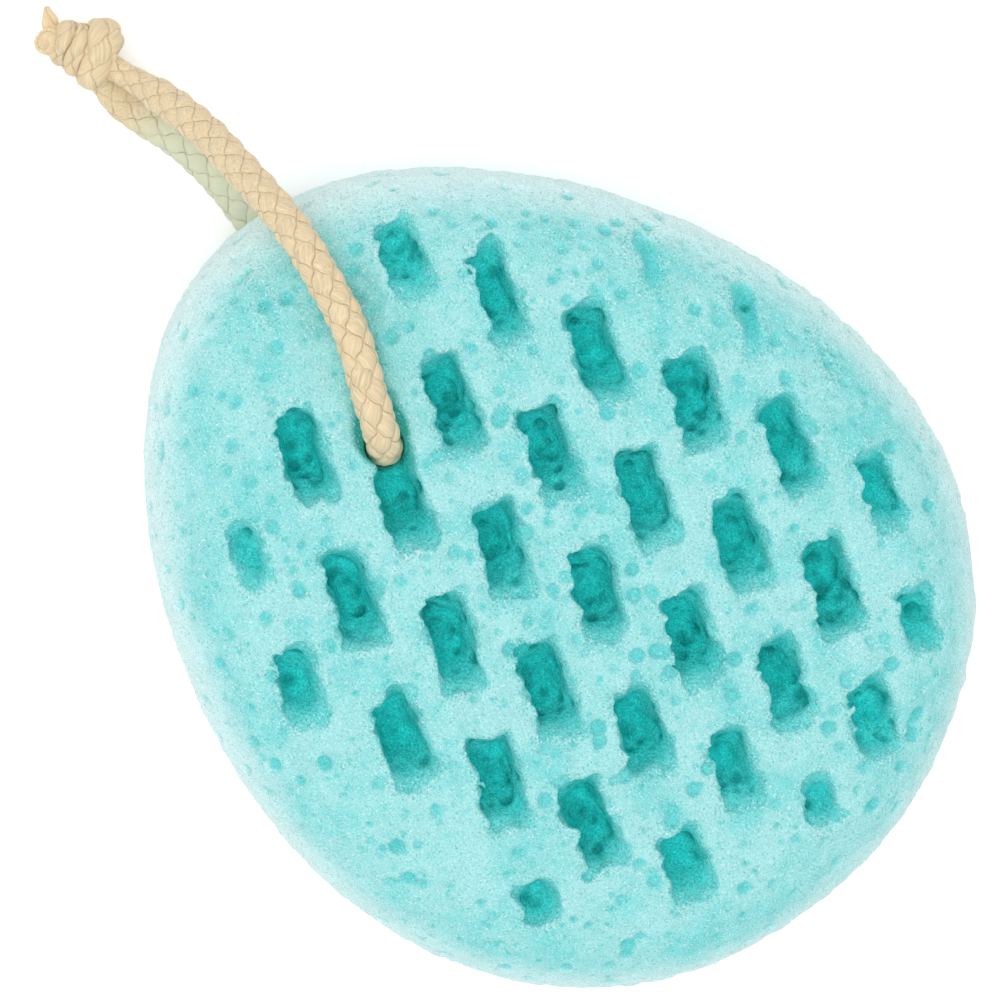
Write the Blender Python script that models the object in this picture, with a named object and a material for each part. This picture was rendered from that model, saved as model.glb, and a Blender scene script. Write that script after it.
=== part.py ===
"""Bath sponge: an egg-shaped foam pad with columns of moulded pockets, and a braided hanging
loop that passes through it and ends in a knot. Metres, +Z up.

The pad lies on its back. The origin is on its underside, at the middle of its outline, and its
narrow end points to -X. The loop comes out of one pocket, runs over the face and the narrow
end, and meets the leg that runs below the pad in a knot that lies on the same surface.
"""

import math

import bmesh
import bpy
from mathutils import Matrix, Vector

# Foam pad
SPONGE_LENGTH = 0.138
SPONGE_BREADTH = 0.117
SPONGE_HEIGHT = 0.042
NARROWING_SHARE = 0.15
EDGE_RADIUS = 0.016
FACE_DOME = 0.0035

# Pockets left by the mould's pins, in columns that are turned from the pad's long axis
POCKET_LENGTH = 0.0158
POCKET_WIDTH = 0.0070
POCKET_DEPTH = 0.0095
POCKET_DRAFT = 0.0008
POCKET_CORNER = 0.0016
POCKET_PITCH = 0.02253
COLUMN_SPACING = 0.01136
COLUMN_TURN = math.radians(-27.8)
EDGE_SHALLOW = 0.0165
EDGE_BARE = 0.0045
SHALLOW_SHARE = 0.55

# Columns from the lower side of the outline to the upper one: first and last place in each.
# Places count half pitches from the cord's pocket, and columns count from the cord's column.
PIN_COLUMNS = {
    -2: (0, 2),
    -1: (-3, 3),
    0: (-2, 6),
    1: (-3, 5),
    2: (-2, 6),
    3: (-1, 5),
    4: (-2, 6),
    5: (-1, 5),
    6: (0, 4),
}

# Braided cord
CORD_DIAMETER = 0.0055
CORD_CLEARANCE = 0.00035
LEG_CLEARANCE = 0.0008
CORD_STEP = 0.0055
PIECE_GAP = 0.0003
LOOP_SWING = math.radians(12)

# Middle line of the leg that leaves the face, from inside the bore to the knot
FRONT_ROUTE = [
    (-0.0326, -0.0033, 0.0310),
    (-0.0326, -0.0033, 0.0341),
    (-0.0338, -0.0027, 0.0391),
    (-0.0370, -0.0009, 0.0428),
    (-0.0414, 0.0015, 0.0442),
    (-0.0495, 0.0062, 0.0437),
    (-0.0584, 0.0092, 0.0420),
    (-0.0622, 0.0103, 0.0404),
    (-0.0656, 0.0110, 0.0383),
    (-0.0694, 0.0115, 0.0350),
    (-0.0733, 0.0118, 0.0312),
    (-0.0776, 0.0121, 0.0267),
    (-0.0818, 0.0123, 0.0220),
    (-0.0863, 0.0120, 0.0168),
    (-0.0911, 0.0113, 0.0118),
    (-0.0952, 0.0104, 0.0086),
]

# Middle line of the leg that leaves the underside, from inside the bore to the knot
BACK_ROUTE = [
    (-0.0326, -0.0033, 0.0155),
    (-0.0326, -0.0033, 0.0124),
    (-0.0338, -0.0030, 0.0077),
    (-0.0372, -0.0021, 0.0042),
    (-0.0418, -0.0007, 0.0029),
    (-0.0500, 0.0020, 0.0029),
    (-0.0560, 0.0038, 0.0029),
    (-0.0620, 0.0055, 0.0029),
    (-0.0693, 0.0072, 0.0029),
    (-0.0745, 0.0080, 0.0029),
    (-0.0800, 0.0083, 0.0029),
    (-0.0850, 0.0080, 0.0029),
    (-0.0890, 0.0072, 0.0029),
    (-0.0922, 0.0065, 0.0030),
    (-0.0950, 0.0062, 0.0033),
]

# The bore stands at the start of both routes, in the cord's pocket, this far from the pocket's
# middle along its column
BORE_X, BORE_Y = FRONT_ROUTE[0][:2]
BORE_FROM_POCKET = 0.0074

# Knot: its near end lies this far past the middle of the legs' ends, and this far aside
KNOT_AXIS = (-0.979, -0.204, 0.0)
KNOT_LENGTH = 0.0126
KNOT_THICKNESS = 0.0096
KNOT_PAST_LEGS = 0.0016
KNOT_ASIDE = -0.0018
KNOT_WRAPS = 3
WRAP_SHARE = 0.11
WRAP_SLANT_SHARE = 0.45
KNOT_BLUNTNESS = 2.5

# The cord's two ends outside the knot. Their leans, and their roots as shares of the knot's
# half length and half thickness, are in the knot's own axes: along it, across it and up.
TUFT_LENGTH = 0.0018
TUFT_BASE = 0.0024
TUFT_TIP = 0.0008
TUFT_ROOT_SHARES = (1.18, -0.30, -0.22)
TUFT_LEAN = (0.66, -0.72, 0.20)
STUB_LENGTH = 0.0018
STUB_BASE = 0.0032
STUB_TIP = 0.0026
STUB_ROOT_SHARES = (1.02, 0.42, 0.40)
STUB_LEAN = (0.60, 0.20, 0.77)

# How far each cutter runs on past what it cuts
CUT_OVERRUN = 0.002

# How finely the solids are faceted
OUTLINE_POINTS = 32
EDGE_STEPS = 4
FACE_RING_SHARE = 0.5
BORE_SIDES = 16
CORNER_STEPS = 2
CORD_ROUNDING = 4
CORD_SIDES = 2 * CORD_ROUNDING + 4
KNOT_RINGS = 18
KNOT_SIDES = 24
ROUTE_SAMPLES = 24
SMOOTH_ANGLE = math.radians(40)


def clear_scene():
    for obj in list(bpy.data.objects):
        bpy.data.objects.remove(obj, do_unlink=True)


def make_material(name, colour, roughness):
    material = bpy.data.materials.new(name)
    material.use_nodes = True
    shader = material.node_tree.nodes["Principled BSDF"]
    shader.inputs["Base Color"].default_value = (*colour, 1)
    shader.inputs["Roughness"].default_value = roughness
    shader.inputs["Metallic"].default_value = 0
    material.diffuse_color = (*colour, 1)
    return material


def add_object(name, mesh, material=None):
    obj = bpy.data.objects.new(name, mesh)
    if material:
        mesh.materials.append(material)
    bpy.context.scene.collection.objects.link(obj)
    return obj


def mesh_of(name, build):
    """A mesh that a function fills, with its faces turned outwards."""
    mesh = bpy.data.meshes.new(name)
    bm = bmesh.new()
    build(bm)
    bmesh.ops.recalc_face_normals(bm, faces=bm.faces)
    bm.to_mesh(mesh)
    bm.free()
    return mesh


def bridge_rings(bm, rings):
    for lower, upper in zip(rings, rings[1:]):
        for i in range(len(lower)):
            j = (i + 1) % len(lower)
            bm.faces.new((lower[i], lower[j], upper[j], upper[i]))


def loft(bm, point_rings):
    """Skins a list of closed rings of points and closes both ends."""
    rings = [[bm.verts.new(point) for point in ring] for ring in point_rings]
    bridge_rings(bm, rings)
    bm.faces.new(rings[0][::-1])
    bm.faces.new(rings[-1])


def cut(obj, cutter):
    cutter.hide_render = True
    cutter.display_type = "WIRE"
    modifier = obj.modifiers.new("Cut " + cutter.name, "BOOLEAN")
    modifier.operation = "DIFFERENCE"
    modifier.object = cutter


def join(obj, other):
    other.hide_render = True
    other.display_type = "WIRE"
    modifier = obj.modifiers.new("Join " + other.name, "BOOLEAN")
    modifier.operation = "UNION"
    modifier.object = other


def breadth_peak():
    """Largest value of sin(t) * (1 + share * cos(t)), which scales the outline to its breadth."""
    share = NARROWING_SHARE
    cosine = (math.sqrt(1 + 8 * share**2) - 1) / (4 * share)
    return math.sqrt(1 - cosine**2) * (1 + share * cosine)


def outline_point(angle):
    """Point of the egg outline, and its outward direction, with the narrow end at -X."""
    half_length = SPONGE_LENGTH / 2
    half_breadth = SPONGE_BREADTH / 2 / breadth_peak()
    c, s = math.cos(angle), math.sin(angle)
    point = Vector((half_length * c, half_breadth * s * (1 + NARROWING_SHARE * c), 0))
    along_x = -half_length * s
    along_y = half_breadth * (c + NARROWING_SHARE * (c * c - s * s))
    return point, Vector((along_y, -along_x, 0)).normalized()


def edge_distance(x, y):
    """Distance in plan from a point inside the outline to the outline."""
    angles = [math.tau * i / (4 * OUTLINE_POINTS) for i in range(4 * OUTLINE_POINTS)]
    target = Vector((x, y, 0))
    nearest = min((outline_point(a) for a in angles), key=lambda found: (found[0] - target).length)
    return (nearest[0] - target).dot(nearest[1])


def dome_drop(x, y):
    """How far the face has fallen at a point in plan: nothing at the middle, all at the rim."""
    return FACE_DOME * ((2 * x / SPONGE_LENGTH) ** 2 + (2 * y / SPONGE_BREADTH) ** 2)


def domed(point):
    """Lowers a point of the flat-topped pad by the dome, less and less towards mid height."""
    middle = SPONGE_HEIGHT / 2
    reach = max(0, (point.z - middle) / middle)
    return Vector((point.x, point.y, point.z - reach * dome_drop(point.x, point.y)))


def pad_rings():
    """Rings of the pad from the underside up: rounded edge, side wall, rounded edge, face."""
    angles = [math.tau * i / OUTLINE_POINTS for i in range(OUTLINE_POINTS)]
    outline = [outline_point(angle) for angle in angles]
    rings = []
    for top in (False, True):
        for step in range(EDGE_STEPS + 1):
            turn = math.pi / 2 * (step / EDGE_STEPS if top else 1 - step / EDGE_STEPS)
            inset = EDGE_RADIUS * (1 - math.cos(turn))
            lift = EDGE_RADIUS * (1 - math.sin(turn))
            height = SPONGE_HEIGHT - lift if top else lift
            ring = [point - normal * inset + Vector((0, 0, height)) for point, normal in outline]
            rings.append([domed(point) for point in ring])
    rim = [point - normal * EDGE_RADIUS for point, normal in outline]
    rings.append([domed(point * FACE_RING_SHARE + Vector((0, 0, SPONGE_HEIGHT))) for point in rim])
    return rings


def build_pad(bm):
    rings = [[bm.verts.new(point) for point in ring] for ring in pad_rings()]
    bridge_rings(bm, rings)
    bm.faces.new(rings[0][::-1])
    crown = bm.verts.new((0, 0, SPONGE_HEIGHT))
    last = rings[-1]
    for i in range(len(last)):
        bm.faces.new((last[i], last[(i + 1) % len(last)], crown))


def pocket_ring(half_length, half_width, height):
    """Rectangle with cut corners, in the pocket's own axes."""
    corner = min(POCKET_CORNER, half_width)
    points = []
    for sign_x, sign_y in ((1, 1), (-1, 1), (-1, -1), (1, -1)):
        first = Vector((sign_x * half_length, sign_y * (half_width - corner), height))
        second = Vector((sign_x * (half_length - corner), sign_y * half_width, height))
        points += [first, second] if sign_x == sign_y else [second, first]
    return points


def pocket_places():
    """Middle of each pocket in plan, with the share of full size that the edge leaves it."""
    along = Vector((math.cos(COLUMN_TURN), math.sin(COLUMN_TURN)))
    across = Vector((-along.y, along.x))
    cord_pocket = Vector((BORE_X, BORE_Y)) + along * BORE_FROM_POCKET
    places = []
    for column, (first, last) in PIN_COLUMNS.items():
        start = cord_pocket + across * (column * COLUMN_SPACING)
        for place in range(first, last + 1, 2):
            middle = start + along * (place * POCKET_PITCH / 2)
            room = edge_distance(middle.x, middle.y) - EDGE_BARE
            if room > 0:
                share = SHALLOW_SHARE + (1 - SHALLOW_SHARE) * min(1, room / (EDGE_SHALLOW - EDGE_BARE))
                places.append((middle, share))
    return places


def build_pockets(bm):
    turn = Matrix.Rotation(COLUMN_TURN, 4, "Z")
    for middle, share in pocket_places():
        half_length = POCKET_LENGTH * share / 2
        half_width = POCKET_WIDTH * (1 + share) / 4
        depth = POCKET_DEPTH * share
        inset = EDGE_RADIUS - edge_distance(middle.x, middle.y)
        rounding = EDGE_RADIUS - math.sqrt(EDGE_RADIUS**2 - max(0, inset) ** 2)
        face = SPONGE_HEIGHT - dome_drop(middle.x, middle.y) - rounding
        slope = POCKET_DRAFT / depth
        mouth = SPONGE_HEIGHT + CUT_OVERRUN
        wider = slope * (mouth - face)
        place = Matrix.Translation((middle.x, middle.y, 0)) @ turn
        floor_ring = pocket_ring(half_length - POCKET_DRAFT, half_width - POCKET_DRAFT, face - depth)
        mouth_ring = pocket_ring(half_length + wider, half_width + wider, mouth)
        loft(bm, [[place @ point for point in ring] for ring in (floor_ring, mouth_ring)])


def build_bore(bm):
    radius = CORD_DIAMETER / 2 + CORD_CLEARANCE
    angles = [math.tau * i / BORE_SIDES for i in range(BORE_SIDES)]
    circle = [(BORE_X + radius * math.cos(a), BORE_Y + radius * math.sin(a)) for a in angles]
    heights = (-CUT_OVERRUN, SPONGE_HEIGHT + CUT_OVERRUN)
    loft(bm, [[(x, y, height) for x, y in circle] for height in heights])


def smooth_route(route, step):
    """Points a step apart along a smooth curve through a route's own points."""
    points = [Vector(point) for point in route]
    ends = [2 * points[0] - points[1], *points, 2 * points[-1] - points[-2]]
    fine = []
    for before, start, end, after in zip(ends, ends[1:], ends[2:], ends[3:]):
        knots = [0]
        for a, b in ((before, start), (start, end), (end, after)):
            knots.append(knots[-1] + math.sqrt((b - a).length))
        for sample in range(ROUTE_SAMPLES):
            t = knots[1] + (knots[2] - knots[1]) * sample / ROUTE_SAMPLES
            line = (before, start, end, after)
            near = [blend(line[i], line[i + 1], knots[i], knots[i + 1], t) for i in range(3)]
            wide = [blend(near[i], near[i + 1], knots[i], knots[i + 2], t) for i in range(2)]
            fine.append(blend(wide[0], wide[1], knots[1], knots[2], t))
    fine.append(points[-1])
    travelled = [0]
    for a, b in zip(fine, fine[1:]):
        travelled.append(travelled[-1] + (b - a).length)
    count = max(1, round(travelled[-1] / step))
    spaced = []
    for i in range(count + 1):
        want = travelled[-1] * i / count
        j = max(k for k in range(len(fine)) if travelled[k] <= want)
        j = min(j, len(fine) - 2)
        spaced.append(blend(fine[j], fine[j + 1], travelled[j], travelled[j + 1], want))
    return spaced


def blend(a, b, at_a, at_b, at):
    return a + (b - a) * ((at - at_a) / (at_b - at_a))


def plan_distance(point):
    return math.hypot(point.x - BORE_X, point.y - BORE_Y)


def tube_limit(line, distance, radius, above):
    """Highest or lowest level that a tube round the line reaches at a distance from the bore."""
    side = 1 if above else -1
    levels = []
    for a, b in zip(line, line[1:]):
        for sample in range(ROUTE_SAMPLES):
            point = a.lerp(b, sample / ROUTE_SAMPLES)
            off = plan_distance(point) - distance
            if abs(off) <= radius:
                levels.append(side * point.z + math.sqrt(radius**2 - off**2))
    return side * max(levels)


def hollow_ring(point, heading, radius, roof, opening):
    """Arch across the leg's way: open towards one level, with a roof that has round corners."""
    half = radius + plan_distance(point) * math.tan(LOOP_SWING)
    up = 1 if roof > opening else -1
    side = Vector((-heading.y, heading.x, 0))
    profile = [(half, opening)]
    for step in range(CORNER_STEPS + 1):
        turn = math.pi / 2 * step / CORNER_STEPS
        profile.append((half - radius * (1 - math.cos(turn)), roof - up * radius * (1 - math.sin(turn))))
    profile += [(-across, level) for across, level in reversed(profile)]
    below = Vector((point.x, point.y, 0))
    return [below + side * across + Vector((0, 0, level)) for across, level in profile]


def build_hollow(bm, route, above):
    """Room in the foam for one leg: from the bore outwards, and as wide as the leg's swing."""
    radius = CORD_DIAMETER / 2 + LEG_CLEARANCE
    line = smooth_route(route, CORD_STEP)
    side = 1 if above else -1
    opening = -CUT_OVERRUN if above else SPONGE_HEIGHT + CUT_OVERRUN
    rings = []
    for before, point, after in zip(line, line[1:], line[2:]):
        distance = plan_distance(point)
        heading = Vector((after.x - before.x, after.y - before.y, 0))
        inside = edge_distance(point.x, point.y) > -radius
        if distance < CORD_CLEARANCE or heading.length < CORD_CLEARANCE or not inside:
            continue
        clear_of_bore = max(distance, radius + CORD_CLEARANCE / 2)
        depth = side * (tube_limit(line, clear_of_bore, radius, above) - opening)
        if depth < radius and len(rings) > 1:
            break
        roof = opening + side * max(depth, radius)
        rings.append(hollow_ring(point, heading.normalized(), radius, roof, opening))
    loft(bm, rings)


def make_sponge_body():
    foam = make_material("Aqua foam", (0.40, 0.80, 0.79), 0.95)
    pad = add_object("sponge_body", mesh_of("Pad", build_pad), foam)
    cutters = {
        "Pockets": build_pockets,
        "Bore": build_bore,
        "Face hollow": lambda bm: build_hollow(bm, FRONT_ROUTE, above=False),
        "Underside hollow": lambda bm: build_hollow(bm, BACK_ROUTE, above=True),
    }
    for name, build in cutters.items():
        cut(pad, add_object(name, mesh_of(name, build)))
    return pad


def make_tube(name, points, cotton):
    """Round cord along a line of points, with closed ends, and its origin on the swing axis."""
    curve = bpy.data.curves.new(name, "CURVE")
    curve.dimensions = "3D"
    curve.bevel_depth = CORD_DIAMETER / 2
    curve.bevel_resolution = CORD_ROUNDING
    curve.use_fill_caps = True
    spline = curve.splines.new("POLY")
    spline.points.add(len(points) - 1)
    for place, point in zip(spline.points, points):
        place.co = (point.x - BORE_X, point.y - BORE_Y, point.z, 1)
    obj = add_object(name, curve, cotton)
    obj.location = (BORE_X, BORE_Y, 0)
    return obj


def knot_frame(front, back):
    """The knot's own axes, at its middle: X along it, away from the legs, and Z up."""
    along = Vector(KNOT_AXIS).normalized()
    across = Vector((0, 0, 1)).cross(along).normalized()
    turn = Matrix((along, across, along.cross(across))).transposed().to_4x4()
    middle = front[-1].lerp(back[-1], 0.5)
    middle += along * (KNOT_PAST_LEGS + KNOT_LENGTH / 2) + across * KNOT_ASIDE
    middle.z = PIECE_GAP + KNOT_THICKNESS / 2
    return Matrix.Translation(middle) @ turn


def build_knot(bm, frame):
    """A blunt spindle whose surface swells in slanting wraps."""
    rings = []
    for i in range(1, KNOT_RINGS):
        travel = -math.cos(math.pi * i / KNOT_RINGS)
        reach = (1 - abs(travel) ** KNOT_BLUNTNESS) ** (1 / KNOT_BLUNTNESS)
        ring = []
        for j in range(KNOT_SIDES):
            angle = math.tau * j / KNOT_SIDES
            slant = WRAP_SLANT_SHARE * math.sin(angle)
            wave = abs(math.sin(math.pi * (KNOT_WRAPS * (travel + 1) / 2 + slant)))
            radius = KNOT_THICKNESS / 2 * reach * (1 - WRAP_SHARE * (1 - wave))
            spoke = Vector((0, radius * math.cos(angle), radius * math.sin(angle)))
            ring.append(frame @ (spoke + Vector((travel * KNOT_LENGTH / 2, 0, 0))))
        rings.append(ring)
    loft(bm, rings)


def disc(middle, facing, diameter):
    """Ring of points round a middle, square to the direction that it faces."""
    turn = facing.to_track_quat("Z", "Y").to_matrix()
    angles = [math.tau * i / CORD_SIDES for i in range(CORD_SIDES)]
    return [middle + turn @ Vector((math.cos(a), math.sin(a), 0)) * diameter / 2 for a in angles]


def build_tail(bm, root, lean, length, base, tip):
    """One end of the cord outside the knot: round, and drawn in to its tip in a smooth curve."""
    rings = []
    for i in range(EDGE_STEPS + 1):
        travel = i / EDGE_STEPS
        rings.append(disc(root + lean * length * travel, lean, base + (tip - base) * travel**2))
    loft(bm, rings)


def build_sleeve(bm, end, outwards, diameter, middle):
    """The cord from a gap short of a free piece's end to the middle of the knot."""
    mouth = disc(end - outwards * PIECE_GAP, outwards, diameter)
    loft(bm, [disc(middle, outwards, diameter), mouth])


def tail_root(frame, shares):
    half_sizes = Vector((KNOT_LENGTH, KNOT_THICKNESS, KNOT_THICKNESS)) / 2
    return frame @ (half_sizes * Vector(shares))


def make_knot(front, back, cotton):
    """The knot, joined to the last of each leg and tail, and the two free tails."""
    frame = knot_frame(front, back)
    middle = frame.to_translation()
    tuft_root = tail_root(frame, TUFT_ROOT_SHARES)
    stub_root = tail_root(frame, STUB_ROOT_SHARES)
    tuft_lean = (frame.to_3x3() @ Vector(TUFT_LEAN)).normalized()
    stub_lean = (frame.to_3x3() @ Vector(STUB_LEAN)).normalized()
    sleeves = {
        "Front sleeve": (front[-1], (front[-2] - front[-1]).normalized(), CORD_DIAMETER),
        "Back sleeve": (back[-1], (back[-2] - back[-1]).normalized(), CORD_DIAMETER),
        "Tuft sleeve": (tuft_root, tuft_lean, TUFT_BASE),
        "Stub sleeve": (stub_root, stub_lean, STUB_BASE),
    }
    knot = add_object("cord_knot", mesh_of("Knot", lambda bm: build_knot(bm, frame)), cotton)
    for name, shape in sleeves.items():
        sleeve = mesh_of(name, lambda bm, shape=shape: build_sleeve(bm, *shape, middle))
        join(knot, add_object(name, sleeve))
    tails = {
        "cord_end_tuft": (tuft_root, tuft_lean, TUFT_LENGTH, TUFT_BASE, TUFT_TIP),
        "cord_end_stub": (stub_root, stub_lean, STUB_LENGTH, STUB_BASE, STUB_TIP),
    }
    pieces = [knot]
    for name, shape in tails.items():
        tail = mesh_of(name, lambda bm, shape=shape: build_tail(bm, *shape))
        pieces.append(add_object(name, tail, cotton))
    return pieces


def make_loop():
    cotton = make_material("Cotton cord", (0.86, 0.74, 0.55), 0.85)
    swing = bpy.data.objects.new("Loop swing", None)
    swing.location = (BORE_X, BORE_Y, 0)
    bpy.context.scene.collection.objects.link(swing)

    front = smooth_route(FRONT_ROUTE, CORD_STEP)
    back = smooth_route(BACK_ROUTE, CORD_STEP)
    gap = Vector((0, 0, PIECE_GAP))
    inside = smooth_route([back[0] + gap, front[0] - gap], CORD_STEP)
    pieces = [
        make_tube("cord_front_leg", front, cotton),
        make_tube("cord_through_sponge", inside, cotton),
        make_tube("cord_back_leg", back, cotton),
    ]
    pieces += make_knot(front, back, cotton)
    bpy.context.view_layer.update()
    for piece in pieces:
        piece.parent = swing
        piece.matrix_parent_inverse = swing.matrix_world.inverted()
    return pieces


def main():
    clear_scene()
    make_sponge_body()
    for obj in make_loop():
        if obj.type == "MESH":
            obj.data.shade_smooth()
            obj.data.set_sharp_from_angle(angle=SMOOTH_ANGLE)


main()
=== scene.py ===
"""Bath sponge: an egg-shaped pad of open-cell foam with moulded pockets, and a knotted loop of
braided cord that is threaded through it."""

import math

import bpy
import numpy as np
import openvdb
from bpy.props import FloatProperty, FloatVectorProperty, IntProperty, PointerProperty
from mathutils import Matrix, Vector


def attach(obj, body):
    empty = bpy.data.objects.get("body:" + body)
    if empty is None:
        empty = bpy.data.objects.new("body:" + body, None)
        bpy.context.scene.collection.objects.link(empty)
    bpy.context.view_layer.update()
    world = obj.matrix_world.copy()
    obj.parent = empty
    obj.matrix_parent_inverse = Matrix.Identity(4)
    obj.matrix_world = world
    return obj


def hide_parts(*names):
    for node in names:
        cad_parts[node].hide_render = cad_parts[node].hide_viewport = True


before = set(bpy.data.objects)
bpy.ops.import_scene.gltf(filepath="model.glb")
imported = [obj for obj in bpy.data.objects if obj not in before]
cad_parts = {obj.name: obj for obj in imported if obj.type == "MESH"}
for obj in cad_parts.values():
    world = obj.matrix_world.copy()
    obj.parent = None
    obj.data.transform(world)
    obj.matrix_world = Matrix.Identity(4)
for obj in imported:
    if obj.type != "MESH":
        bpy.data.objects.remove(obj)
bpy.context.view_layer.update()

bl_info = {
    "name": "Bath Sponge",
    "version": (1, 0, 0),
    "blender": (4, 5, 0),
    "location": "View3D > Sidebar > Bath Sponge",
    "description": "Makes a foam bath sponge with moulded pockets and a knotted cord loop",
    "category": "Add Mesh",
}

# The pad, as the solid model has it
SPONGE_LENGTH = 0.138
SPONGE_BREADTH = 0.117
SPONGE_HEIGHT = 0.042
NARROWING_SHARE = 0.15
EDGE_RADIUS = 0.016
FACE_DOME = 0.0035

# The pockets, as the solid model has them, on columns that stand askew to the pad
POCKET_LENGTH = 0.0158
POCKET_WIDTH = 0.0070
POCKET_DEPTH = 0.0095
POCKET_PITCH = 0.02253
COLUMN_SPACING = 0.01136
COLUMN_TURN = math.radians(-27.8)
BORE_FROM_POCKET = 0.0074
PIN_COLUMNS = {
    -2: (0, 2),
    -1: (-3, 3),
    0: (-2, 6),
    1: (-3, 5),
    2: (-2, 6),
    3: (-1, 5),
    4: (-2, 6),
    5: (-1, 5),
    6: (0, 4),
}

# Pockets near the rim are smaller and shallower: shares of length, width and depth, and how far
# they stand ahead along their column and aside from it
RIM_POCKETS = {
    (-2, 0): (0.72, 0.82, 0.42, 0.0, -0.0008),
    (-2, 2): (0.84, 0.90, 0.70, -0.0014, -0.0006),
    (-1, -3): (0.55, 0.34, 0.15, -0.0006, 0.0018),
    (0, -2): (0.75, 0.55, 0.40, 0.0, 0.0012),
    (0, 6): (0.52, 0.95, 0.55, -0.0024, 0.0),
    (1, -3): (0.78, 0.90, 0.60, 0.0, 0.0),
    (2, -2): (0.96, 0.82, 0.85, -0.0014, 0.0),
    (2, 6): (0.78, 1.05, 0.75, -0.0004, 0.0),
    (3, 5): (0.80, 1.00, 0.85, -0.0014, 0.0),
    (4, -2): (0.66, 0.66, 0.24, 0.0012, 0.0),
    (4, 6): (0.58, 0.80, 0.50, -0.0026, 0.0),
    (5, -1): (0.80, 0.78, 0.26, 0.0020, 0.0),
    (5, 5): (0.84, 1.00, 0.75, -0.0010, 0.0),
    (6, 0): (0.55, 0.34, 0.14, 0.0004, -0.0016),
    (6, 2): (0.86, 0.82, 0.75, 0.0, 0.0),
    (6, 4): (0.72, 0.82, 0.65, -0.0020, 0.0),
}

# The cord, as the solid model has it, with its routes from the bore's two mouths to the knot
CORD_DIAMETER = 0.0055
PIECE_GAP = 0.0003
LOOP_SWING = math.radians(12)
FRONT_ROUTE = [
    (-0.0326, -0.0033, 0.0310),
    (-0.0326, -0.0033, 0.0341),
    (-0.0338, -0.0027, 0.0391),
    (-0.0370, -0.0009, 0.0428),
    (-0.0414, 0.0015, 0.0442),
    (-0.0495, 0.0062, 0.0437),
    (-0.0584, 0.0092, 0.0420),
    (-0.0622, 0.0103, 0.0404),
    (-0.0656, 0.0110, 0.0383),
    (-0.0694, 0.0115, 0.0350),
    (-0.0733, 0.0118, 0.0312),
    (-0.0776, 0.0121, 0.0267),
    (-0.0818, 0.0123, 0.0220),
    (-0.0863, 0.0120, 0.0168),
    (-0.0911, 0.0113, 0.0118),
    (-0.0952, 0.0104, 0.0086),
]
BACK_ROUTE = [
    (-0.0326, -0.0033, 0.0155),
    (-0.0326, -0.0033, 0.0124),
    (-0.0338, -0.0030, 0.0077),
    (-0.0372, -0.0021, 0.0042),
    (-0.0418, -0.0007, 0.0029),
    (-0.0500, 0.0020, 0.0029),
    (-0.0560, 0.0038, 0.0029),
    (-0.0620, 0.0055, 0.0029),
    (-0.0693, 0.0072, 0.0029),
    (-0.0745, 0.0080, 0.0029),
    (-0.0800, 0.0083, 0.0029),
    (-0.0850, 0.0080, 0.0029),
    (-0.0890, 0.0072, 0.0029),
    (-0.0922, 0.0065, 0.0030),
    (-0.0950, 0.0062, 0.0033),
]
KNOT_AXIS = (-0.979, -0.204, 0.0)
KNOT_LENGTH = 0.0126
KNOT_THICKNESS = 0.0096
KNOT_PAST_LEGS = 0.0016
KNOT_ASIDE = -0.0018

# The cord's turns in the knot: how far round each point is, in turns from the side, its place
# along the knot, its distance from the knot's axis and the cord's radius there, in millimetres
KNOT_WRAP = (
    (-0.30, -2.8, 1.40, 2.30),
    (-0.15, -2.0, 2.55, 2.80),
    (0.00, -0.8, 3.70, 3.10),
    (0.12, -1.2, 3.15, 3.00),
    (0.25, -2.0, 2.45, 2.70),
    (0.50, -2.8, 2.65, 2.50),
    (0.75, -0.6, 2.45, 2.20),
    (1.00, 2.6, 1.50, 2.00),
    (1.25, 1.3, 2.50, 2.10),
    (1.50, 0.4, 2.35, 2.10),
    (1.75, 2.4, 2.45, 2.00),
    (2.00, 4.3, 1.05, 1.90),
    (2.25, 3.6, 2.20, 1.95),
    (2.50, 3.2, 2.35, 1.95),
    (2.75, 4.0, 1.80, 1.75),
    (3.00, 4.4, 1.20, 1.60),
)
KNOT_WRAP_ENDS = (0.75, 1.75)
KNOT_LOW = (-0.0068, -0.0072, -0.0050)
KNOT_HIGH = (0.0070, 0.0056, 0.0058)

# Ends beyond the knot, in its own axes: along it, across it and up, from its middle
FRAYED_ROUTE = [
    (0.0030, 0.0000, -0.0006),
    (0.0064, -0.0003, -0.0010),
    (0.0075, -0.0015, -0.0010),
    (0.0087, -0.0027, -0.0007),
]
MELTED_ROUTE = [
    (0.0030, 0.0010, 0.0002),
    (0.0052, 0.0018, 0.0014),
    (0.0061, 0.0021, 0.0034),
]
LEG_IN_KNOT = 0.0045

# The room in which the foam's shape is worked out
FOAM_LOW = (-0.0726, -0.0621, -0.0033)
FOAM_HIGH = (0.0726, 0.0621, 0.0459)

# The skin's unevenness: shares of its height, with the size of the bumps
SKIN_BUMPS = ((1.0, 0.0013), (0.8, 0.0026), (1.2, 0.012))

# How far apart the skin's small pits are, and the depths between which the foam's colour changes
# to the painted light of its inside
PIT_SPACING = 0.0023
DEPTH_RANGE = (0.0001, 0.0060)

# Bubbles in the skin and caves inside the pockets: smallest radius and how much larger they get
BUBBLE_RADIUS = 0.0005
BUBBLE_SPREAD = 0.0008
CAVE_RADIUS = 0.0005
CAVE_SPREAD = 0.0006
CAVES_BELOW = 0.002
BUBBLE_ROUNDING = 0.0004
CAVE_ROUNDING = 0.0006

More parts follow.
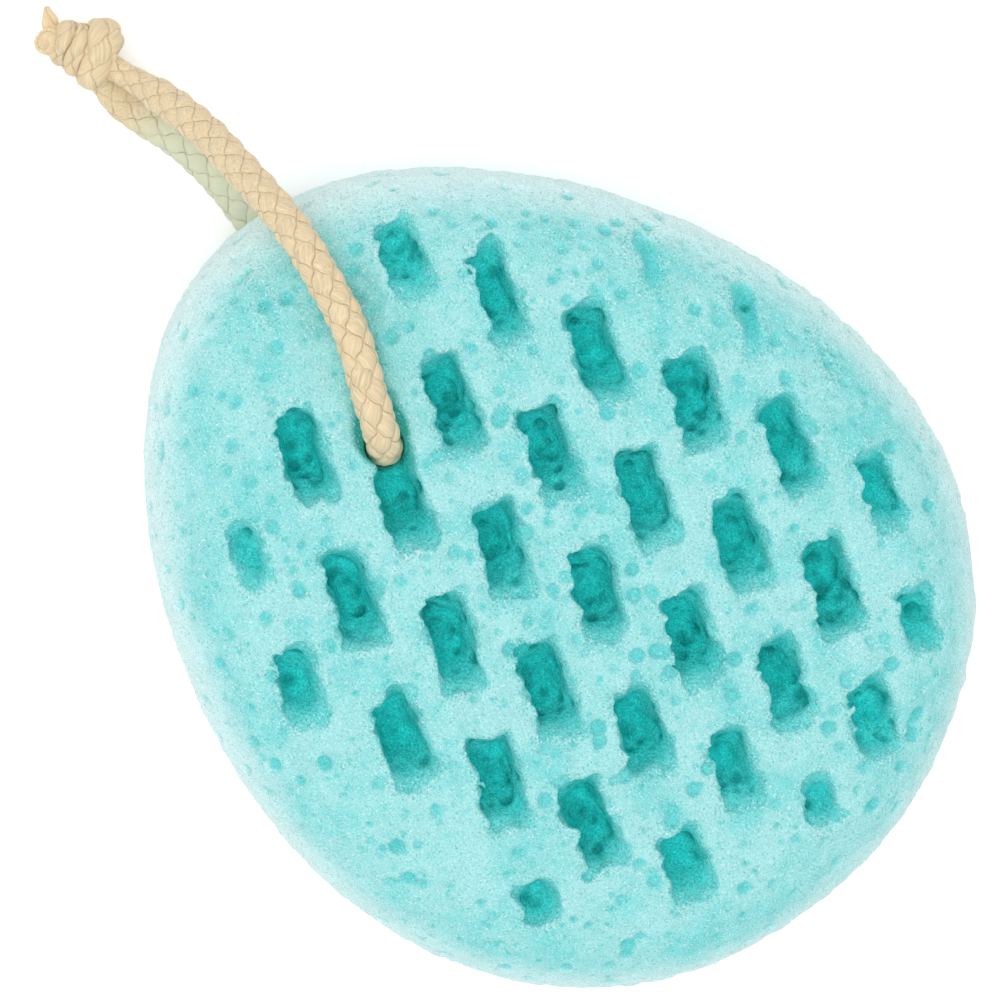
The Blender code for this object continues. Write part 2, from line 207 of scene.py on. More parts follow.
# A pocket's walls wander by broad swells, finer bumps and crumbs, and lean in with depth
BROAD_SIZE = 0.0028
FINE_SIZE = 0.0014
CRUMB_SIZE = 0.0009
LEAN = 0.0078
LEAN_START = 0.0004
LEAN_DEPTH = 0.0050
LOWER_LEAN = 0.95
UPPER_LEAN = 0.25
SIDE_LEAN = 0.30
DEPTH_SHOWN = 0.88
POCKET_CORNER = 0.0015
POCKET_BLEND = 0.0030
POCKET_WINDOW = (0.0125, 0.0125, 0.016)

# Depth below which the pockets' walls are softened, and over what depth this sets in
SOFT_START = 0.0008
SOFT_REACH = 0.0012

# How far from a pocket's rim its crumbs reach, and how far light from the cord's room does
CRUMBS_REACH = 0.0012
GLOW_REACH = 0.0004

# Room between the foam and the cord, and the ridge of foam that holds the cord in the bore
BORE_CLEARANCE = 0.00006
FRONT_CLEARANCE = 0.00008
BACK_CLEARANCE = 0.0005
BORE_HALF_LENGTH = 0.0090
COLLAR_RADIUS = 0.0034
COLLAR_DEPTH = 0.0072
COLLAR_BLEND = 0.0024
LIP_ROUNDING = 0.0003
FACE_LIP_ROUNDING = 0.0014

# Distances from the bore: a leg's room is open beyond the first, and up to the second it also
# follows the cord's bend
ROOM_OPENS = 0.0035
ROOM_BENDS = 0.0065

# The braid: depth of the strands' middle, height within which two strands meet, its threads, how
# far apart the strands' coordinates lie, the stretch over which the knot pinches a leg, and where
# the back leg's painted shade fades out before the knot
STRAND_MIDDLE = 0.0006
MEETING_HEIGHT = 0.00011
THREAD_THICKNESS = 0.00013
STRAND_APART = 0.01
PINCH_START = 0.0115
PINCH_LENGTH = 0.0075
TIP_LENGTH = 0.0008
SHADE_END = 0.0060
SHADE_FADE = 0.007

# The knot: how far its turns wander, the size of that wandering and the distance within which two
# turns meet, its core, and its outline as distances from its axis at places along it
KNOT_WARP = 0.00030
KNOT_WARP_SIZE = 0.0026
KNOT_MEETING = 0.00035
KNOT_CORE_RADIUS = 0.0023
KNOT_CORE_HALF = 0.0036
KNOT_CORE_MIDDLE = 0.0003
KNOT_REACH = 0.0072
KNOT_OUTLINE = ((-0.005, -0.003, 0.001, 0.004, 0.0055), (0.0032, 0.0044, 0.0044, 0.0036, 0.0020))

# The frayed end's half width in millimetres, at shares of its length
FRAYED_WIDTHS = ((0, 0.4, 0.68, 0.8, 0.92, 1), (1.30, 1.40, 1.30, 0.95, 0.55, 0.40))

# The camera's place, its directions to the right and up, and its angle of view
CAMERA_PLACE = (-0.09856, 0.01618, 0.44167)
CAMERA_RIGHT = (0.71389, 0.68910, 0.12450)
CAMERA_UP = (-0.67056, 0.72395, -0.16198)
CAMERA_ANGLE = math.radians(20.25)

# The large lamp and the floor
KEY_PLACE = (-0.17, -0.15, 1.12)
KEY_SIZE = 0.9
FLOOR_HALF = 3.0
FLOOR_DROP = 0.0001
FLOOR_WHITENING = 0.27


def linear(red, green, blue):
    """Linear colour of a shade given in steps of 0 to 255."""
    shares = [step / 255 for step in (red, green, blue)]
    return [s / 12.92 if s <= 0.04045 else ((s + 0.055) / 1.055) ** 2.4 for s in shares]


def length_setting(name, description, default):
    """Setting in metres."""
    return FloatProperty(
        name=name, description=description, default=default, unit="LENGTH", precision=5
    )


def count_setting(name, description, default):
    """Setting that counts things."""
    return IntProperty(name=name, description=description, default=default, min=0)


def colour_setting(name, description, shade):
    """Setting of a colour, from its shade in steps of 0 to 255."""
    return FloatVectorProperty(
        name=name, description=description, default=linear(*shade), subtype="COLOR", min=0, max=1
    )


class FoamSettings(bpy.types.PropertyGroup):
    """Sizes and colours of the foam pad."""

    voxel: length_setting("Voxel", "Spacing of the grid that the foam is shaped on", 0.00042)
    skin_relief: length_setting("Skin relief", "Height of the skin's fine unevenness", 0.00022)
    ragged: length_setting("Ragged walls", "How far the pockets' walls wander", 0.00078)
    rim_rounding: length_setting("Rim rounding", "Rounding of the pockets' rims", 0.0004)
    bubble_count: count_setting("Bubbles", "Round cups in the skin", 2600)
    cave_count: count_setting("Caves", "Round holes inside the pockets", 750)
    grain: length_setting("Grain", "Size of the open cells", 0.00032)
    face_colour: colour_setting("Face", "Foam at its skin", (171, 233, 234))
    # Rim: painted light, paler on the side and rounded edges for the light they catch from the
    # bright floor, and the colour of painted glints
    highlight_colour: colour_setting("Rim", "Foam on the side and the rounded edges", (230, 254, 254))
    # Inside and deep: painted light, the saturated teal that light takes on as it scatters and
    # bounces in the foam below its skin
    inner_scatter_colour: colour_setting("Inside", "Foam a few millimetres below its skin", (70, 210, 208))
    deep_scatter_colour: colour_setting("Deep", "Foam on the pockets' floors", (45, 218, 215))
    # Hole: painted shade in the small holes and pores
    hole_shade_colour: colour_setting("Hole", "Foam in the pockets' small holes", (20, 156, 152))
    # Cloud: random clouds on the skin, and also painted shade on steep slopes near the skin and
    # painted light just below it
    cloud_and_scatter_colour: colour_setting("Cloud", "Foam where its skin is thin", (120, 221, 221))
    glow_colour: colour_setting("Glow", "Foam that light shines through", (104, 252, 249))


class CordSettings(bpy.types.PropertyGroup):
    """Sizes and colours of the braided cord, its knot and its cut ends."""

    strands: IntProperty(
        name="Strands", description="Strands that wind each way", default=4, min=2
    )
    turn_length: length_setting("Turn", "Length in which a strand winds once round", 0.0190)
    straightening: FloatProperty(
        name="Straightening",
        description="Share by which a strand straightens where it lies on top",
        default=0.35,
        min=0,
        max=0.9,
    )
    strand_width: length_setting("Strand width", "Width of one flat strand", 0.0030)
    strand_rise: length_setting("Strand rise", "Height of a strand's crown", 0.00062)
    strand_lift: length_setting("Strand lift", "Rise and dip of a strand as it crosses", 0.00028)
    step: length_setting("Step", "Spacing of the mesh along the cord", 0.00014)
    cotton: colour_setting("Cotton", "Lit fibres", (235, 215, 178))
    # Shaded cotton: painted shade on the back leg, tinted by light bounced from the foam
    shaded_cotton: colour_setting("Shaded cotton", "Fibres of the back leg", (216, 222, 196))
    # Crease: painted shade in the braid's creases and where the knot's turns meet
    crease: colour_setting("Crease", "Fibres in the creases", (158, 118, 66))
    end_tint: colour_setting("Cut end", "Cut and melted fibres", (243, 221, 181))


class StudioSettings(bpy.types.PropertyGroup):
    """Floor and light."""

    floor_colour: colour_setting("Floor", "Colour of the floor", (248, 248, 248))
    sky: FloatProperty(
        name="Soft light", description="Strength of the even light", default=0.79, min=0
    )
    key: FloatProperty(
        name="Key light", description="Power of the large lamp", default=4.6, min=0, unit="POWER"
    )


# Shapes that more than one piece uses


def run_past(route):
    """A route with one point more past each end, for a curve through all of its own points."""
    return [2 * route[0] - route[1], *route, 2 * route[-1] - route[-2]]


def between(a, b, at_a, at_b, at):
    """Value at a place on the straight line through two values."""
    return a + (b - a) * ((at - at_a) / (at_b - at_a))


def smooth_route(route, step):
    """Points a step apart along a smooth curve through a route's own points."""
    points = [Vector(point) for point in route]
    ends = run_past(points)
    fine = []
    samples = 40
    for before, start, end, after in zip(ends, ends[1:], ends[2:], ends[3:]):
        knots = [0]
        for a, b in ((before, start), (start, end), (end, after)):
            knots.append(knots[-1] + math.sqrt((b - a).length))
        for sample in range(samples):
            t = knots[1] + (knots[2] - knots[1]) * sample / samples
            line = (before, start, end, after)
            near = [between(line[i], line[i + 1], knots[i], knots[i + 1], t) for i in range(3)]
            wide = [between(near[i], near[i + 1], knots[i], knots[i + 2], t) for i in range(2)]
            fine.append(between(wide[0], wide[1], knots[1], knots[2], t))
    fine.append(points[-1])
    fine = np.array(fine)
    travelled = np.concatenate([[0], np.cumsum(np.linalg.norm(np.diff(fine, axis=0), axis=1))])
    wanted = np.linspace(0, travelled[-1], max(2, round(travelled[-1] / step)) + 1)
    return np.stack([np.interp(wanted, travelled, fine[:, i]) for i in range(3)], axis=1)


def travel_along(points):
    """Length of a line up to each of its points."""
    steps = np.linalg.norm(np.diff(points, axis=0), axis=1)
    return np.concatenate([[0], np.cumsum(steps)])


def headings_of(points):
    """Direction of a line at each of its points."""
    heading = np.gradient(points, axis=0)
    return heading / np.linalg.norm(heading, axis=1, keepdims=True)


def cord_axes(points, up):
    """Headings of a line, with the directions across it: one towards up, and one to its side."""
    heading = headings_of(points)
    rise = np.empty_like(points)
    carried = np.array(up, dtype=float)
    for i, direction in enumerate(heading):
        carried = carried - direction * carried.dot(direction)
        carried /= np.linalg.norm(carried)
        rise[i] = carried
    return heading, rise, np.cross(heading, rise)


def axes_towards(points, rises):
    """Headings of a line, with the directions across it: one towards each rise, and one aside."""
    heading = headings_of(points)
    rise = rises - heading * (rises * heading).sum(axis=1, keepdims=True)
    rise /= np.linalg.norm(rise, axis=1, keepdims=True)
    return heading, rise, np.cross(heading, rise)


def ring_spokes(angle, rise, aside):
    """Directions outward from a line, at each angle round each of its points."""
    angle = angle.reshape(1, -1, 1)
    return np.cos(angle) * rise[:, None, :] + np.sin(angle) * aside[:, None, :]


def braid_surface(travel, angle, cord):
    """Distance of a round braid's surface from its middle line, the strand's own coordinates
    there and how deep the place lies in a crease.

    Some strands wind one way and as many the other, each passing over and under in turn."""
    middle_radius = CORD_DIAMETER / 2 - STRAND_MIDDLE
    winding = math.tau / cord.turn_length
    half_width = cord.strand_width / 2
    floor = CORD_DIAMETER / 2 - cord.strand_rise - cord.strand_lift
    travel, angle = np.broadcast_arrays(travel, angle)
    best = np.full(travel.shape, floor - cord.strand_lift)
    second = best.copy()
    across = np.zeros(travel.shape)
    along = np.zeros(travel.shape)
    strand = np.zeros(travel.shape)
    for side in (-1, 1):
        phase = cord.strands * winding * travel
        straight = -side * cord.straightening
        wound = winding * travel - straight * np.sin(phase) / cord.strands
        lean = np.arctan(middle_radius * winding * (1 - straight * np.cos(phase)))
        for number in range(cord.strands):
            turn = angle - side * wound - number * math.tau / cord.strands
            turn = (turn + math.pi) % math.tau - math.pi
            reach = turn * middle_radius
            place = travel + side * reach * np.sin(lean) * np.cos(lean)
            offset = reach * np.cos(lean) / half_width
            lift = -side * cord.strand_lift * np.cos(cord.strands * winding * place)
            crown = np.clip(1 - np.abs(offset) ** 2.8, 0, 1) ** 0.5
            height = np.where(np.abs(offset) < 1, floor + lift + cord.strand_rise * crown, 0)
            wins = height > best
            second = np.where(wins, best, np.maximum(second, height))
            best = np.where(wins, height, best)
            across = np.where(wins, offset * half_width, across)
            along = np.where(wins, place / np.cos(lean), along)
            strand = np.where(wins, number + cord.strands * (side > 0), strand)
    deep = np.clip((CORD_DIAMETER / 2 - best) / (cord.strand_rise + cord.strand_lift), 0, 1)
    met = np.clip(1 - (best - second) / MEETING_HEIGHT, 0, 1)
    crease = np.maximum(met, 0.4 * deep**2)
    return best, across, along, strand, crease


def smooth_mesh(name, points, faces):
    """Smooth-shaded mesh from points and faces."""
    mesh = bpy.data.meshes.new(name)
    mesh.from_pydata(points.tolist(), [], faces)
    mesh.validate()
    mesh.shade_smooth()
    return mesh


def tube_mesh(name, vertices):
    """Closed tube from rings of vertices; its first and last ring are filled."""
    rings, sides = vertices.shape[:2]
    start = np.arange(rings - 1)[:, None] * sides
    here = np.arange(sides)[None, :]
    following = (here + 1) % sides
    corners = (sides + here, sides + following, following, here)
    faces = np.stack([start + corner for corner in corners], axis=-1).reshape(-1, 4).tolist()
    faces.append(list(range(sides)))
    faces.append(list(range(rings * sides - 1, (rings - 1) * sides - 1, -1)))
    return smooth_mesh(name, vertices.reshape(-1, 3), faces)


def keep_value(mesh, name, values):
    """Keep one number for each vertex, for the material."""
    layer = mesh.attributes.new(name, "FLOAT", "POINT")
    layer.data.foreach_set("value", np.asarray(values, dtype=np.float32).ravel())


def keep_vector(mesh, name, values):
    """Keep three numbers for each vertex, for the material."""
    layer = mesh.attributes.new(name, "FLOAT_VECTOR", "POINT")
    layer.data.foreach_set("vector", np.asarray(values, dtype=np.float32).ravel())


def show(name, mesh, material, body, replaced):
    """Put a piece in the scene, on its body and in place of the solid model's nodes."""
    piece = bpy.data.objects.new(name, mesh)
    bpy.context.scene.collection.objects.link(piece)
    mesh.materials.append(material)
    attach(piece, body)
    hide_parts(*replaced)
    return piece


# Materials


class Nodes:
    """Short names for making and linking the nodes of one tree."""

    def __init__(self, tree):
        self.tree = tree

    def add(self, kind, **values):
        node = self.tree.nodes.new(kind)
        for key, value in values.items():
            setattr(node, key, value)
        return node

    def link(self, source, target):
        self.tree.links.new(source, target)

    def put(self, socket, value):
        if isinstance(value, bpy.types.NodeSocket):
            self.link(value, socket)
        else:
            socket.default_value = value

    def math(self, operation, *values):
        node = self.add("ShaderNodeMath", operation=operation)
        for socket, value in zip(node.inputs, values):
            self.put(socket, value)
        return node.outputs[0]

    def product(self, first, second):
        return self.math("MULTIPLY", first, second)

    def total(self, first, second):
        return self.math("ADD", first, second)

    def value(self, name):
        return self.add("ShaderNodeAttribute", attribute_name=name).outputs["Fac"]

    def vector(self, name):
        return self.add("ShaderNodeAttribute", attribute_name=name).outputs["Vector"]

    def scaled(self, vector, scale):
        node = self.add("ShaderNodeVectorMath", operation="MULTIPLY")
        self.put(node.inputs[0], vector)
        node.inputs[1].default_value = scale
        return node.outputs[0]

    def noise(self, vector, scale, detail=2.0, roughness=0.5):
        node = self.add("ShaderNodeTexNoise")
        self.put(node.inputs["Vector"], vector)
        self.put(node.inputs["Scale"], scale)
        node.inputs["Detail"].default_value = detail
        node.inputs["Roughness"].default_value = roughness
        return node.outputs["Fac"]

    def cells(self, vector, scale):
        node = self.add("ShaderNodeTexVoronoi")
        self.put(node.inputs["Vector"], vector)
        self.put(node.inputs["Scale"], scale)
        return node.outputs

    def spread(self, value, low, high, to_low, to_high):
        node = self.add("ShaderNodeMapRange")
        for socket, number in zip(node.inputs, (value, low, high, to_low, to_high)):
            self.put(socket, number)
        return node.outputs[0]

    def mix(self, share, first, second, blend="MIX"):
        node = self.add("ShaderNodeMix", data_type="RGBA", blend_type=blend)
        self.put(node.inputs[0], share)
        self.put(node.inputs[6], first)
        self.put(node.inputs[7], second)
        return node.outputs[2]

    def bump(self, height, strength, distance):
        node = self.add("ShaderNodeBump")
        node.inputs["Strength"].default_value = strength
        node.inputs["Distance"].default_value = distance
        self.put(node.inputs["Height"], height)
        return node.outputs["Normal"]


def full(colour):
    """A colour with its full opacity."""
    return (*colour, 1)


def new_material(name):
    """New material with its nodes and its shader."""
    material = bpy.data.materials.new(name)
    material.use_nodes = True
    nodes = Nodes(material.node_tree)
    shader = material.node_tree.nodes["Principled BSDF"]
    return material, nodes, shader


def new_group(name, inputs, outputs):
    """New node group with named inputs and outputs."""
    tree = bpy.data.node_groups.new(name, "ShaderNodeTree")
    for label, kind in inputs:
        tree.interface.new_socket(label, in_out="INPUT", socket_type=kind)
    for label, kind in outputs:
        tree.interface.new_socket(label, in_out="OUTPUT", socket_type=kind)
    nodes = Nodes(tree)
    return tree, nodes, nodes.add("NodeGroupInput").outputs, nodes.add("NodeGroupOutput").inputs


def place_group(nodes, tree, **values):
    """Outputs of a node group that is placed in a tree with its own values."""
    node = nodes.add("ShaderNodeGroup", node_tree=tree)
    for label, value in values.items():
        nodes.put(node.inputs[label], value)
    return node.outputs


def fibre_group():
    """Fine threads that run along a strand, from the strand's own coordinates."""
    name = "Fibres"
    if name in bpy.data.node_groups:
        return bpy.data.node_groups[name]
    tree, nodes, given, put_out = new_group(
        name,
        [("Strand", "NodeSocketVector"), ("Thickness", "NodeSocketFloat")],
        [(label, "NodeSocketFloat") for label in ("Threads", "Shade", "Blotches")],
    )
    rate = nodes.math("DIVIDE", 1.0, given["Thickness"])
    threads = nodes.noise(nodes.scaled(given["Strand"], (1, 0.05, 1)), rate, 1.5)
    yarns = nodes.noise(nodes.scaled(given["Strand"], (0.45, 0.035, 1)), rate, 1.0)
    blotches = nodes.noise(nodes.scaled(given["Strand"], (0.05, 0.03, 1)), rate, 1.0)
    shade = nodes.total(nodes.product(threads, 0.5), nodes.product(yarns, 0.5))
    nodes.link(threads, put_out["Threads"])
    nodes.link(shade, put_out["Shade"])
    nodes.link(blotches, put_out["Blotches"])
    return tree


def cord_material(name, base, cord, roughness):
    """Braided cotton: threads along each strand, painted shade in the creases, and painted shade,
    tinted by light bounced from the foam, on the stretch that the mesh marks for it."""
    material, nodes, shader = new_material(name)
    fibres = place_group(
        nodes, fibre_group(), Strand=nodes.vector("strand"), Thickness=THREAD_THICKNESS
    )
    dark = full([channel * 0.70 for channel in base])
    light = full([min(1, channel * 1.13) for channel in base])
    warm = full([base[0], base[1] * 0.95, base[2] * 0.86])
    shaded = nodes.mix(nodes.spread(fibres["Shade"], 0.3, 0.7, 0.0, 1.0), dark, light)
    toned = nodes.mix(nodes.spread(fibres["Blotches"], 0.35, 0.65, 0.0, 0.5), shaded, warm)
    place = nodes.add("ShaderNodeTexCoord").outputs["Object"]
    faint = nodes.spread(nodes.noise(place, 420, 1.0), 0.35, 0.65, 0.2, 1.0)
    crease = nodes.spread(nodes.value("crease"), 0.1, 1.0, 0.0, 1.0)
    deep = nodes.product(nodes.math("POWER", crease, 1.2), faint)
    # Painted shade, tinted by light bounced from the foam, where the mesh marks it
    leg_shade = nodes.mix(nodes.value("bounce_shade"), toned, nodes.mix(0.8, toned, full(cord.shaded_cotton)))
    # The creases get painted shade
    nodes.link(nodes.mix(deep, leg_shade, full(cord.crease)), shader.inputs["Base Color"])
    nodes.link(nodes.bump(fibres["Threads"], 0.7, 0.00012), shader.inputs["Normal"])
    shader.inputs["Roughness"].default_value = roughness
    shader.inputs["Specular IOR Level"].default_value = 0.25
    shader.inputs["Sheen Weight"].default_value = 0.15
    shader.inputs["Sheen Roughness"].default_value = 0.5
    return material


def foam_pits(nodes, place):
    """Mask of the small round pits, which only some of the skin's cells have."""
    cells = nodes.cells(place, 1 / PIT_SPACING)
    picked = nodes.add("ShaderNodeSeparateColor")
    nodes.link(cells["Color"], picked.inputs[0])
    return nodes.product(
        nodes.spread(cells["Distance"], 0.12, 0.30, 1.0, 0.0),
        nodes.spread(picked.outputs[0], 0.45, 0.75, 0.0, 1.0),
    )


def foam_tone(nodes, foam, place, depth, pits):
    """The foam's colour before its grain: by its depth, deepening as painted light scattered and
    bounced inside the foam, and then by where on the pad it is, with painted shade in pits, holes
    and on steep slopes, and painted light on the side and round the cord's room.
    """
    ramp = nodes.add("ShaderNodeValToRGB")
    stops = ramp.color_ramp.elements
    stops[0].color = full(foam.face_colour)
    stops[1].position = 1.0
    stops[1].color = full(foam.deep_scatter_colour)
    # The colour deepens with depth below the skin: painted light scattered and bounced inside the
    # foam
    for position, colour in ((0.09, foam.cloud_and_scatter_colour), (0.42, foam.inner_scatter_colour)):
        stops.new(position).color = full(colour)
    wander = nodes.product(nodes.math("SUBTRACT", nodes.noise(place, 900, 2.0), 0.5), 0.0008)
    nodes.link(nodes.spread(nodes.total(depth, wander), *DEPTH_RANGE, 0.0, 1.0), ramp.inputs[0])
    near_skin = nodes.spread(depth, 0.0002, 0.0014, 1.0, 0.0)
    clouds = nodes.spread(nodes.noise(place, 120, 4.0, 0.6), 0.44, 0.68, 0.0, 0.8)
    # The small pits get painted shade
    pit_shade = nodes.product(pits, 0.62)
    # The pad's side and rounded edges get painted light
    edge = nodes.spread(nodes.value("rim"), 0.60, 1.0, 0.0, 1.0)
    inner_side = nodes.spread(nodes.value("rim"), 0.2, 0.8, 1.0, 0.0)
    # Steep slopes near the skin, away from the pad's side, get painted shade in a saturated teal
    steep_shade = nodes.product(nodes.spread(nodes.value("steep"), 0.03, 0.45, 0.0, 1.0), inner_side)
    tone = ramp.outputs[0]
    for share, colour in (
        (clouds, foam.cloud_and_scatter_colour),
        (pit_shade, foam.inner_scatter_colour),
        (edge, foam.highlight_colour),
        (steep_shade, foam.cloud_and_scatter_colour),
    ):
        tone = nodes.mix(nodes.product(share, near_skin), tone, full(colour))
    # Small round holes inside the pockets get painted shade
    hole_shade_share = nodes.spread(nodes.value("sunk"), 0.0001, 0.0006, 0.0, 0.85)
    tone = nodes.mix(hole_shade_share, tone, full(foam.hole_shade_colour))
    lit = nodes.product(nodes.value("room"), nodes.spread(depth, 0.0002, 0.0020, 0.0, 1.0))
    return nodes.mix(lit, tone, full(foam.glow_colour))


def foam_material(foam):
    """Open-cell foam: pale at its skin and painted a deeper teal inside, for light scattered and
    bounced in the foam, with small cells all over.
    """
    material, nodes, shader = new_material("Open cell foam")
    place = nodes.add("ShaderNodeTexCoord").outputs["Object"]
    depth = nodes.value("depth")
    pits = foam_pits(nodes, place)
    tone = foam_tone(nodes, foam, place, depth, pits)
    # Grain, pores and blotches lighten and darken the colour, more so inside the pockets
    fine = 1 / foam.grain
    grain = nodes.spread(nodes.noise(place, fine, 3.0, 0.65), 0.3, 0.7, -1.0, 1.0)
    pores = nodes.spread(nodes.cells(place, fine)["Distance"], 0.15, 0.75, 1.0, -1.0)
    coarse = nodes.spread(nodes.noise(place, 0.45 / foam.grain, 2.0, 0.6), 0.3, 0.7, -1.0, 1.0)
    speckle = nodes.total(nodes.product(grain, 0.10), nodes.product(pores, 0.08))
    inside = nodes.spread(depth, 0.0005, 0.003, 0.0, 1.0)
    stronger = nodes.total(nodes.product(speckle, 1.2), nodes.product(coarse, 0.14))
    speckle = nodes.total(speckle, nodes.product(stronger, inside))
    blotch = nodes.math("SUBTRACT", nodes.noise(place, 260, 3.0), 0.5)
    blotch = nodes.product(blotch, nodes.spread(inside, 0.0, 1.0, 0.16, 0.65))
    level = nodes.total(nodes.total(speckle, blotch), 1.04)
    grey = nodes.add("ShaderNodeCombineColor")
    for socket in grey.inputs:
        nodes.link(level, socket)
    toned = nodes.mix(1.0, tone, grey.outputs[0], "MULTIPLY")
    # Dark specks of painted shade in the pores and light specks of painted glints on the cell
    # walls, thicker where the pockets' rims crumble
    crumbly = nodes.product(nodes.value("crumbs"), 0.12)
    dark_noise = nodes.noise(nodes.scaled(place, (1, 1, -1)), 2300, 1.0)
    pore_shade = nodes.spread(nodes.total(dark_noise, crumbly), 0.60, 0.72, 0.0, 0.6)
    toned = nodes.mix(pore_shade, toned, nodes.mix(0.6, tone, full(foam.hole_shade_colour)))
    light_noise = nodes.total(nodes.noise(place, 2700, 1.0), nodes.product(crumbly, 0.35))
    sparkle = nodes.spread(light_noise, 0.61, 0.72, 0.0, 0.85)
    whiteness = nodes.spread(depth, 0.0003, 0.0020, 0.75, 0.10)
    toned = nodes.mix(sparkle, toned, nodes.mix(whiteness, tone, full(foam.highlight_colour)))
    nodes.link(toned, shader.inputs["Base Color"])
    height = nodes.total(nodes.product(pores, -0.5), nodes.product(grain, 0.6))
    height = nodes.math("SUBTRACT", height, nodes.product(pits, 1.2))
    nodes.link(nodes.bump(height, 0.6, 0.00018), shader.inputs["Normal"])
    shader.inputs["Roughness"].default_value = 0.9
    shader.inputs["Specular IOR Level"].default_value = 0.05
    return material


# The foam's shape, worked out as a distance field on a grid


def smooth_max(a, b, rounding):
    """Larger of two fields, with a rounding where they meet."""
    share = np.maximum(rounding - np.abs(a - b), 0) / rounding
    return np.maximum(a, b) + share * share * rounding / 4


def rounded_corner(a, b):
    """Distance from the corner where two fields are zero, and the larger of them inside it."""
    return np.hypot(np.maximum(a, 0), np.maximum(b, 0)) + np.minimum(np.maximum(a, b), 0)


def lattice_noise(rng, axes, size):
    """Smooth noise from -1 to 1 at every crossing of three axes, with bumps of about a size."""
    counts = [int((axis[-1] - axis[0]) / size + 1e-6) + 3 for axis in axes]
    field = rng.uniform(-1, 1, counts).astype(np.float32)
    for number, axis in enumerate(axes):
        place = (axis - axis[0]) / size
        low = place.astype(int)
        part = place - low
        part = (part * part * (3 - 2 * part)).astype(np.float32)
        part = part.reshape([-1 if i == number else 1 for i in range(3)])
        near = np.take(field, low, axis=number)
        field = near + (np.take(field, low + 1, axis=number) - near) * part
    return field


def breadth_peak():
    """Largest value of sin(t) * (1 + share * cos(t)), which scales the outline to its breadth."""
    share = NARROWING_SHARE
    cosine = (math.sqrt(1 + 8 * share**2) - 1) / (4 * share)
    return math.sqrt(1 - cosine**2) * (1 + share * cosine)


def outline_distance(x, y):
    """Distance in plan from the egg outline, below zero inside it."""
    angles = np.linspace(0, math.tau, 720, endpoint=False)
    half_breadth = SPONGE_BREADTH / 2 / breadth_peak()
    line_x = SPONGE_LENGTH / 2 * np.cos(angles)
    line_y = half_breadth * np.sin(angles) * (1 + NARROWING_SHARE * np.cos(angles))
    distance = np.empty((len(x), len(y)), dtype=np.float32)
    for i, at in enumerate(x):
        off = (at - line_x) ** 2 + (y[:, None] - line_y) ** 2
        distance[i] = np.sqrt(off.min(axis=1))
    share = 2 * x / SPONGE_LENGTH
    reach = half_breadth * np.sqrt(np.clip(1 - share**2, 0, 1)) * (1 + NARROWING_SHARE * share)
    inside = (np.abs(y)[None, :] < reach[:, None]) & (np.abs(share) < 1)[:, None]
    return np.where(inside, -distance, distance)


def pad_field(axes):
    """Distance from the plain pad's skin, below zero inside it."""
    x, y, z = axes
    middle = SPONGE_HEIGHT / 2
    share_x, share_y = 2 * x / SPONGE_LENGTH, 2 * y / SPONGE_BREADTH
    drop = FACE_DOME * (share_x[:, None] ** 2 + share_y[None, :] ** 2)
    height = (1 - np.minimum(drop, middle / 2) / middle)[:, :, None]
    above = z[None, None, :] - middle
    flat = np.where(above > 0, above / height, above)
    side = outline_distance(x, y)[:, :, None] + EDGE_RADIUS
    level = np.abs(flat) - (middle - EDGE_RADIUS)
    return (rounded_corner(side, level) - EDGE_RADIUS).astype(np.float32)


def pocket_places():
    """Middle of each pocket in plan, with its shares of full length, width and depth."""
    along = Vector((math.cos(COLUMN_TURN), math.sin(COLUMN_TURN)))
    across = Vector((-along.y, along.x))
    cord_pocket = Vector(FRONT_ROUTE[0][:2]) + along * BORE_FROM_POCKET
    places = []
    for column, (first, last) in PIN_COLUMNS.items():
        start = cord_pocket + across * (column * COLUMN_SPACING)
        for place in range(first, last + 1, 2):
            middle = start + along * (place * POCKET_PITCH / 2)
            *shares, ahead, aside = RIM_POCKETS.get((column, place), (1, 1, 1, 0, 0))
            places.append((middle + along * ahead + across * aside, shares))
    return places


def window(axes, middle, reach):
    """Slices of a grid that hold a box round a point, and the axes there."""
    parts = []
    for axis, at, far in zip(axes, middle, reach):
        low, high = np.searchsorted(axis, (at - far, at + far))
        parts.append(slice(max(low, 0), high))
    return tuple(parts), [axis[part] for axis, part in zip(axes, parts)]


